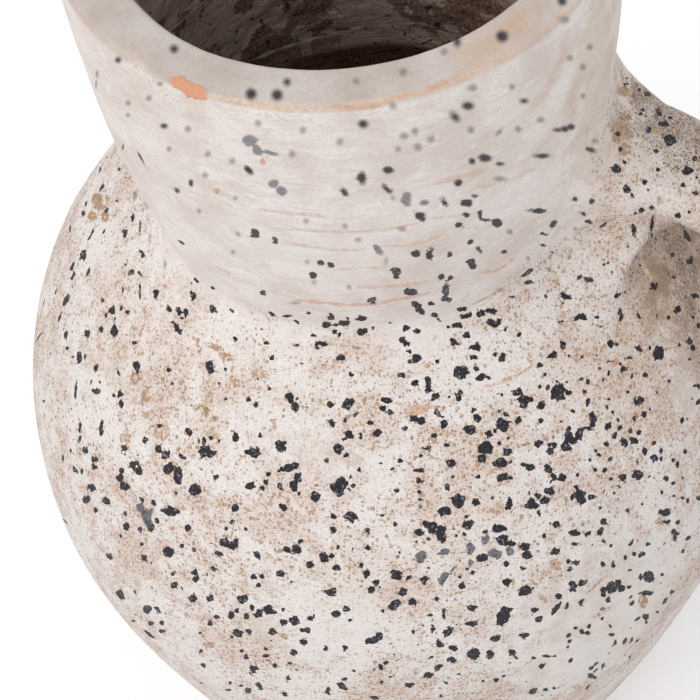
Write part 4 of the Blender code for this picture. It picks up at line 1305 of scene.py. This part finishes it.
def sand_grains(graph, size, share):
    """Round grains, one to a cell of this size in this share of the cells, and a random value for each."""
    shaken = graph.node("ShaderNodeTexNoise", {"Vector": graph.place, "Scale": 900.0, "Detail": 1.0})
    offset = graph.vector_math("SUBTRACT", {0: shaken.outputs["Color"], 1: (0.5, 0.5, 0.5)})
    place = graph.vector_math("MULTIPLY_ADD", {0: offset, 1: (0.9 * size,) * 3, 2: graph.place})
    cells = graph.node("ShaderNodeTexVoronoi", {"Vector": place, "Scale": 1 / size}).outputs
    present, bulk, hue = graph.node("ShaderNodeSeparateColor", {0: cells["Color"]}).outputs
    reach = graph.plus(graph.times(bulk, 0.30), 0.16)
    grain = graph.step(graph.minus(cells["Distance"], reach), 0.07, -0.07)
    chosen = graph.step(graph.minus(present, share), 0.02, -0.02)
    return graph.times(grain, chosen), hue


def belly_wash(graph, under):
    """Sandy wash: pale plaster, with tan and orange grains in patches, and browner under the strap, where
    bare clay is darkened with painted shade.
    """
    where = graph.blend(0.45, graph.noise(16 * MM, 3.0, 0.55), graph.noise(4 * MM, 3.0, 0.6))
    speck = graph.noise(PLASTER_SPECKS, 2.0, 0.7)
    wash = graph.mix(graph.step(where, 0.42, 0.62), PLASTER, PLASTER_SHADE)
    # Under the strap: bare brown clay, made darker with painted shade.
    bare = graph.mix(graph.step(where, 0.40, 0.58), BARE_CLAY_AND_SHADE_PALE, BARE_CLAY_AND_SHADE_DARK)
    wash = graph.tint(wash, bare, under, 0.75)
    wash = graph.tint(wash, PLASTER_SPECK, graph.step(speck, 0.52, 0.64), 0.5)
    wash = graph.tint(wash, PLASTER_GLINT, graph.step(speck, 0.46, 0.36), 0.5)
    crowd = graph.plus(graph.times(graph.step(where, 0.38, 0.64), 0.62), 0.12, graph.times(under, 0.4))
    bumps = speck
    for size in SAND_GRAINS:
        grain, hue = sand_grains(graph, size, crowd)
        colour = graph.mix(under, GRAIN_DULL, GRAIN_PALE)
        colour = graph.mix(graph.step(hue, 0.25, 0.45), colour, GRAIN_TAN)
        colour = graph.mix(graph.step(hue, 0.70, 0.76), colour, GRAIN_ORANGE)
        colour = graph.tint(colour, GRAIN_BROWN, graph.step(hue, 0.84, 0.88), under)
        wash = graph.tint(wash, colour, grain, 0.85)
        bumps = graph.plus(bumps, graph.times(grain, 0.30))
    return wash, bumps


def brushed_wash(graph, height):
    """Brushed wash: smooth pinkish white, with soft tan clouds and a few white brush ridges."""
    streak = graph.noise(4.5 * MM, 3.0, 0.55, 0.8, place=graph.stretched(1.0, 1.0, 3.5))
    cloud = graph.noise(11 * MM, 4.0, 0.6)
    speck = graph.noise(SPECKS, 2.0, 0.7)
    wash = graph.mix(graph.step(cloud, 0.36, 0.68), BRUSHED, BRUSHED_SHADE)
    wash = graph.tint(wash, BRUSHED_STREAK, graph.step(streak, 0.50, 0.72), 0.35)
    wash = graph.tint(wash, BRUSHED_SPECK, graph.step(speck, 0.50, 0.66), 0.30)
    crest = graph.step(graph.math("ABSOLUTE", graph.minus(streak, 0.47)), 0.07, 0.0)
    broken = graph.noise(7 * MM, 2.0, 0.6, place=graph.stretched(-1.0, 1.0, 1.5))
    ridge = graph.times(crest, graph.step(broken, 0.50, 0.60))
    wash = graph.tint(wash, BRUSHED_RIDGE, ridge, 0.45)
    # The lip's top is greyer and grainier, down to its outer edge: partly the lip's own grey clay and partly
    # painted shade.
    top = graph.step(height, HEIGHT - 4.0 * MM, HEIGHT - 1.5 * MM)
    grey_and_shade = graph.mix(graph.step(cloud, 0.3, 0.7), LIP_GREY_AND_SHADE_PALE, LIP_GREY_AND_SHADE_DARK)
    grey_and_shade = graph.tint(grey_and_shade, LIP_SPECK, graph.step(speck, 0.48, 0.66), 0.35)
    bumps = graph.times(graph.plus(graph.times(ridge, 0.12), streak), graph.minus(1.0, top))
    return graph.tint(wash, grey_and_shade, top, 0.85), bumps


def rim_wear(graph, base, across, height):
    """Along the rim's outer edge the wash is worn to cream and orange."""
    from_edge = graph.minus(across, RIM_RADIUS - 1.2 * MM)
    from_top = graph.minus(height, HEIGHT - 1.6 * MM)
    line = graph.step(graph.length(from_edge, from_top), 1.9 * MM, 0.5 * MM)
    patchy = graph.step(graph.noise(12 * MM), 0.40, 0.62)
    colour = graph.mix(graph.step(graph.noise(6 * MM, 1.0), 0.45, 0.6), RIM_CREAM, RIM_ORANGE)
    return graph.tint(base, colour, graph.times(line, patchy), 0.42)


def dark_slip(graph, height, lining):
    """Inside: brown slip in thrown streaks over dark grainy clay, with black pits, and painted light far
    down, where the deepest wall is made paler.
    """
    streak = graph.noise(4.5 * MM, 4.0, 0.6, place=graph.stretched(1.0, 1.0, 4.0))
    patch = graph.noise(9 * MM, 4.0, 0.65, place=graph.stretched(1.0, 1.0, 1.6))
    speck = graph.noise(SPECKS, 2.0, 0.65)
    slip = graph.mix(graph.step(streak, 0.36, 0.64), SLIP_DARK, SLIP_LIGHT)
    slip = graph.tint(slip, SLIP_SPECK, graph.step(speck, 0.50, 0.64), 0.5)
    grain, _ = sand_grains(graph, CLAY_GRAINS, 0.7)
    clay = graph.mix(graph.step(speck, 0.40, 0.60), CLAY_DARK, CLAY_LIGHT)
    clay = graph.tint(clay, CLAY_GRAIN, grain, 0.55)
    deep = graph.step(height, NECK_JOINT - 4 * MM, NECK_JOINT - 20 * MM)
    clay = graph.tint(clay, slip, deep, 0.7)
    bare = graph.plus(patch, graph.times(speck, 0.12), lining)
    slip = graph.mix(graph.step(bare, 0.55, 0.58), slip, clay)
    pit = graph.noise(1.5 * MM, 1.0, place=graph.stretched(1.0, -1.0, 1.0))
    slip = graph.mix(graph.step(pit, 0.69, 0.72), slip, PIT)
    painted_light_slip = graph.vector_math("SCALE", {0: slip, "Scale": graph.blend(deep, 1.0, DEEP_PAINTED_LIGHT)})
    return painted_light_slip, patch


def under_strap_bare_and_shaded(graph, x, y, across, height, wander):
    """1 on the wall under the strap, which the brush didn't reach, so it is bare and sandy; its brown is
    partly the bare clay and partly painted shade from the strap.
    """
    beside = graph.plus(graph.math("ABSOLUTE", y), graph.times(wander, 0.3))
    right_of = graph.plus(x, graph.times(wander, 0.5))
    return graph.times(
        graph.step(beside, 46 * MM, 26 * MM),
        graph.step(right_of, 96 * MM, 107 * MM),
        graph.step(height, HANDLE_TOP_LEVEL - 20 * MM, HANDLE_TOP_LEVEL - 34 * MM),
        graph.step(height, HANDLE_BOTTOM_LEVEL - 25 * MM, HANDLE_BOTTOM_LEVEL + 5 * MM),
        graph.step(across, BELLY_RADIUS + 16 * MM, BELLY_RADIUS),
    )


def brushed_share(graph, x, height, wander, under):
    """1 where the wash is brushed smooth: above a wandering level, but not on the strap or under it."""
    lower = graph.times(graph.step(x, 30 * MM, 85 * MM), -14 * MM)
    smooth = graph.step(graph.plus(height, wander, lower), SMOOTH_START, SMOOTH_END)
    strap = graph.times(
        graph.step(graph.plus(x, graph.wobble(4 * MM, 3.0, 60 * MM)), 74 * MM, 100 * MM),
        graph.step(height, HANDLE_TOP_LEVEL + 46 * MM, HANDLE_TOP_LEVEL + 22 * MM),
    )
    return graph.times(smooth, graph.minus(1.0, graph.math("MAXIMUM", under, strap)))


def mark_edges(graph):
    """Two ways to break up a mark's edge, ragged or in soft clouds, and the lumps behind the ragged one."""
    lobes = graph.wobble(1.2 * MM, 1.0)
    fine = graph.wobble(0.4 * MM, 1.0)
    spread = graph.wobble(5 * MM, 3.0)

    def rough_edge(size_share, most, fine_share):
        def rough(radius, soft):
            big = graph.math("MINIMUM", graph.times(radius, size_share), most)
            ragged = graph.plus(graph.times(lobes, big), graph.times(fine, fine_share))
            return graph.times(ragged, graph.step(soft, 1.3, 0.1))
        return rough

    def cloud_edge(radius, soft):
        return graph.times(spread, graph.times(radius, 2.4))

    return rough_edge, cloud_edge, lobes


def stained_and_painted_light(graph, base, cloud_edge, grainy):
    """Broad tints, stains with some painted shade and light among them, which break up into grains on the
    sandy wash.
    """
    for layer in (1, 0):
        cover, strength, _, _, tone = mark_layer(graph, "stain", layer, cloud_edge)
        base = graph.tint(base, tone_colour(graph, tone), graph.times(cover, strength), grainy)
    return base


def patched(graph, base, rough_edge, smooth, fleck, crumb):
    """Worn patches and crumbs, with painted shade in the crumbs' crevices. A weaker patch is thinner and lies
    in fewer grains.
    """
    cover, strength, _, _, tone = mark_layer(graph, "patch", 0, rough_edge(2.4, 3.0, 1.2))
    limit = graph.plus(graph.times(strength, -0.50), 0.79)
    grains = graph.step(graph.minus(crumb, limit), 0.0, 0.06)
    gritty = graph.blend(smooth, 0.8, 0.0)
    cover = graph.times(cover, graph.blend(gritty, strength, grains))
    varied = graph.times(graph.step(fleck, 0.45, 0.62), graph.minus(1.15, strength))
    colour = graph.mix(varied, tone_colour(graph, tone), PATCH_FLECK)
    # Painted shade in the crevices between crumbs.
    colour = graph.tint(colour, CREVICE_SHADE, graph.step(crumb, 0.47, 0.38), graph.times(gritty, 0.55))
    return graph.mix(cover, base, colour), cover


def spattered(graph, base, rough_edge, lobes, fleck, crumb):
    """The black spatter, mottled, with pale bare flecks where its edge is sharp."""
    paint = 0.0
    for layer in (1, 0):
        cover, strength, gap, soft, tone = mark_layer(graph, "spot", layer, rough_edge(2.6, 3.1, 1.1))
        cover = graph.times(cover, strength)
        sharp = graph.times(graph.step(gap, -0.1, -0.5), graph.step(soft, 0.5, 0.2))
        bare = graph.times(sharp, graph.step(fleck, 0.59, 0.68))
        colour = graph.tint(tone_colour(graph, tone), PAINT_CRUMB, graph.step(crumb, 0.46, 0.60), 0.60)
        colour = graph.tint(colour, PAINT_WORN, bare, 0.65)
        colour = graph.tint(colour, PAINT_LUMP, graph.step(lobes, 0.02, 0.12), 0.6)
        base = graph.mix(cover, base, colour)
        paint = graph.math("MAXIMUM", paint, cover)
    return base, paint


def washed_clay(name):
    """Terracotta under whitewash: sandy on the belly, brushed smooth above, dark inside, with marks."""
    material = bpy.data.materials.new(name)
    material.use_nodes = True
    graph = Graph(material.node_tree)
    x, y, height = graph.parts(graph.place)
    across = graph.length(x, y)
    wander = graph.wobble(20 * MM, 2.0, 50 * MM)
    # The wall under the strap: bare clay with painted shade.
    under = under_strap_bare_and_shaded(graph, x, y, across, height, wander)
    smooth = brushed_share(graph, x, height, wander, under)
    sand, sand_bumps = belly_wash(graph, under)
    brushed, brushed_bumps = brushed_wash(graph, height)
    base = graph.mix(smooth, sand, rim_wear(graph, brushed, across, height))

    rough_edge, cloud_edge, lobes = mark_edges(graph)
    grain_mask = graph.times(graph.step(sand_bumps, 0.45, 0.85), 1.8)
    base = stained_and_painted_light(graph, base, cloud_edge, graph.blend(graph.blend(smooth, 0.7, 0.1), 1.0, grain_mask))
    inside = graph.plus(graph.attribute("inside", "Fac"), graph.wobble(3 * MM, 3.0, 0.6))
    dark = graph.step(inside, 0.30, 0.75)
    cover, strength, _, _, _ = mark_layer(graph, "lining", 0, cloud_edge)
    slip, slip_bumps = dark_slip(graph, height, graph.times(cover, strength))
    base = graph.mix(dark, base, slip)
    fleck = graph.noise(SPECKS, 1.0, place=graph.stretched(1.0, -1.0, 1.0))
    crumb = graph.noise(0.7 * MM, 2.0, 0.65, place=graph.stretched(-1.0, -1.0, 1.0))
    base, patches = patched(graph, base, rough_edge, smooth, fleck, crumb)
    base, paint = spattered(graph, base, rough_edge, lobes, fleck, crumb)

    bumps = graph.plus(
        graph.times(sand_bumps, graph.blend(smooth, 1.5, 0.22)),
        graph.times(brushed_bumps, graph.times(smooth, 0.9)),
        graph.times(paint, 0.3),
        graph.times(patches, 0.45),
        graph.times(slip_bumps, dark, 4.0),
    )
    bump = graph.node("ShaderNodeBump", {"Height": bumps, "Strength": 1.0, "Distance": BUMP_DEPTH})
    roughness = graph.blend(graph.times(paint, graph.minus(1.0, dark)), 0.90, 0.60)
    looks = {"Base Color": base, "Roughness": roughness, "Specular IOR Level": 0.28}
    looks["Normal"] = bump.outputs["Normal"]
    graph.finish(graph.node("ShaderNodeBsdfPrincipled", looks).outputs["BSDF"])
    return material


def seen_marks(sight):
    """The marks that the photograph shows, each where its pixel falls on the clay."""
    layers = (("spot", 2), ("patch", 1), ("stain", 2), ("lining", 1))
    spots, patches, stains_and_painted_light, lining = (Marks(name, count) for name, count in layers)
    for spot in SOFT_SPOTS:
        blur = np.clip((FOCUS_ROW - spot[1]) / BLUR_ROWS, 0.0, 1.0)
        spots.add_seen(sight.ellipse(*spot), (FOCUS_EDGE + BLUR_GROWTH * blur) * MM, 0.95)
    for ellipses, soft, strength, tone in (
        (FAINT_SPOTS, 0.9 * MM, 0.55, "brown"),
        (CRISP_SPOTS, SHARP_EDGE, 1.0, "black"),
        (BLUE_SPOTS, 0.2 * MM, 0.9, "blue"),
        (SMOKY_SPOTS, 0.6 * MM, 0.75, "blue"),
    ):
        for ellipse in ellipses:
            spots.add_seen(sight.ellipse(*ellipse), soft, strength, tone)
    for kind, rows in ((patches, PATCHES), (stains_and_painted_light, STAINS_AND_PAINTED_LIGHT)):
        for tone, soft, strength, ellipses in rows:
            for ellipse in ellipses:
                kind.add_seen(sight.ellipse(*ellipse), soft * MM, strength, tone)
    for share, ellipses in LINING:
        for ellipse in ellipses:
            lining.add_seen(sight.ellipse(*ellipse), 2.0 * MM, share)
    for tone, half_width, soft, strength, points in STROKES:
        for (x, y), (end_x, end_y) in zip(points, points[1:]):
            half = STRETCH_SHARE * math.hypot(end_x - x, end_y - y)
            lean = math.degrees(math.atan2(y - end_y, end_x - x))
            ellipse = sight.ellipse((x + end_x) / 2, (y + end_y) / 2, half, half_width, lean)
            patches.add_seen(ellipse, soft * MM, strength, tone)
    return spots, patches, stains_and_painted_light, lining


def scatter(marks, sight, pieces):
    """Spatter where the photograph doesn't show the jug, and the finest dots everywhere."""
    random = np.random.default_rng(SPATTER_SEED)
    for piece in pieces:
        outer = piece.inside[piece.faces].max(axis=1) < 0.3
        weights = piece.areas * outer
        count = random.poisson(weights.sum() * SPOTS_PER_SQUARE_METRE)
        for face in random.choice(len(weights), count, p=weights / weights.sum()):
            centre = random.dirichlet(np.ones(4)) @ piece.points[piece.faces[face]]
            radius = min((0.25 + random.gamma(1.5, 0.55)) * MM, LARGEST_DOT)
            stretch = 1 + random.gamma(1.2, 0.15)
            turn = random.uniform(0, math.tau)
            if (radius > FINEST_DOTS or centre[2] > NECK_JOINT) and sight.shows(centre):
                continue
            marks.add_turned(centre, piece.facing[face], radius, stretch, turn, SHARP_EDGE)


def studio_floor():
    """A white floor to the camera, which still takes the jug's shadow."""
    bpy.ops.mesh.primitive_plane_add(size=FLOOR_SIZE)
    floor = bpy.context.object
    floor.name = "studio_floor"
    material = bpy.data.materials.new("pale_floor")
    material.use_nodes = True
    graph = Graph(material.node_tree)
    diffuse = graph.node("ShaderNodeBsdfDiffuse", {"Color": linear(*FLOOR_GREY)})
    path = graph.node("ShaderNodeLightPath").outputs
    seen = graph.math("MAXIMUM", path["Is Camera Ray"], path["Is Glossy Ray"])
    glow = graph.node("ShaderNodeEmission", {"Strength": graph.times(seen, FLOOR_GLOW)})
    graph.finish(graph.node("ShaderNodeAddShader", {0: diffuse.outputs[0], 1: glow.outputs[0]}).outputs[0])
    floor.data.materials.append(material)


def studio_lights():
    """Even light from all round, and a broad soft key from the upper left."""
    world = bpy.data.worlds.new("studio")
    world.use_nodes = True
    background = world.node_tree.nodes["Background"]
    background.inputs["Color"].default_value = linear(*WHITE)
    path = world.node_tree.nodes.new("ShaderNodeLightPath")
    strength = world.node_tree.nodes.new("ShaderNodeMix")
    strength.inputs[2].default_value = AMBIENT
    strength.inputs[3].default_value = 1.0
    world.node_tree.links.new(path.outputs["Is Camera Ray"], strength.inputs[0])
    world.node_tree.links.new(strength.outputs[0], background.inputs["Strength"])
    bpy.context.scene.world = world
    lamp = bpy.data.objects.new("key", bpy.data.lights.new("key", "SUN"))
    lamp.data.energy = KEY
    lamp.data.angle = KEY_SOFTNESS
    lamp.data.color = linear(*WARM_WHITE)[:3]
    lamp.rotation_euler = Vector(KEY_DIRECTION).to_track_quat("Z", "Y").to_euler()
    bpy.context.scene.collection.objects.link(lamp)
    bpy.context.scene.view_settings.view_transform = "Standard"


# The CAD node that each visible piece replaces, and its slot.
PIECES = {
    "foot_clay": ("foot_slab", "foot_clay"),
    "lower_belly_clay": ("lower_belly", "belly_clay"),
    "upper_belly_clay": ("upper_belly", "belly_clay"),
    "neck_clay": ("neck", "neck_clay"),
    "lip_clay": ("lip", "lip_clay"),
    "handle_strap": ("handle", "handle_clay"),
    "handle_top_fillet": ("handle_top_luting", "luting_clay"),
    "handle_bottom_fillet": ("handle_bottom_luting", "luting_clay"),
}


def main():
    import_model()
    camera = camera_rig()
    shell = jug_shell()
    pieces = [
        foot_piece("foot_clay", shell, ("foot", "floor")),
        shell_piece("lower_belly_clay", shell, ("lower", "lower_inside")),
        shell_piece("upper_belly_clay", shell, ("upper", "upper_inside")),
        shell_piece("neck_clay", shell, ("neck", "neck_inside")),
        shell_piece("lip_clay", shell, ("lip",)),
    ] + strap_pieces()
    sight = Sight(camera, pieces)
    marks = seen_marks(sight)
    scatter(marks[0], sight, pieces)
    clay = washed_clay("washed_clay")
    for piece in pieces:
        node, slot = PIECES[piece.name]
        visible = build_mesh(piece, clay, marks)
        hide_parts(node)
        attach(visible, "root")
    studio_floor()
    studio_lights()


main()
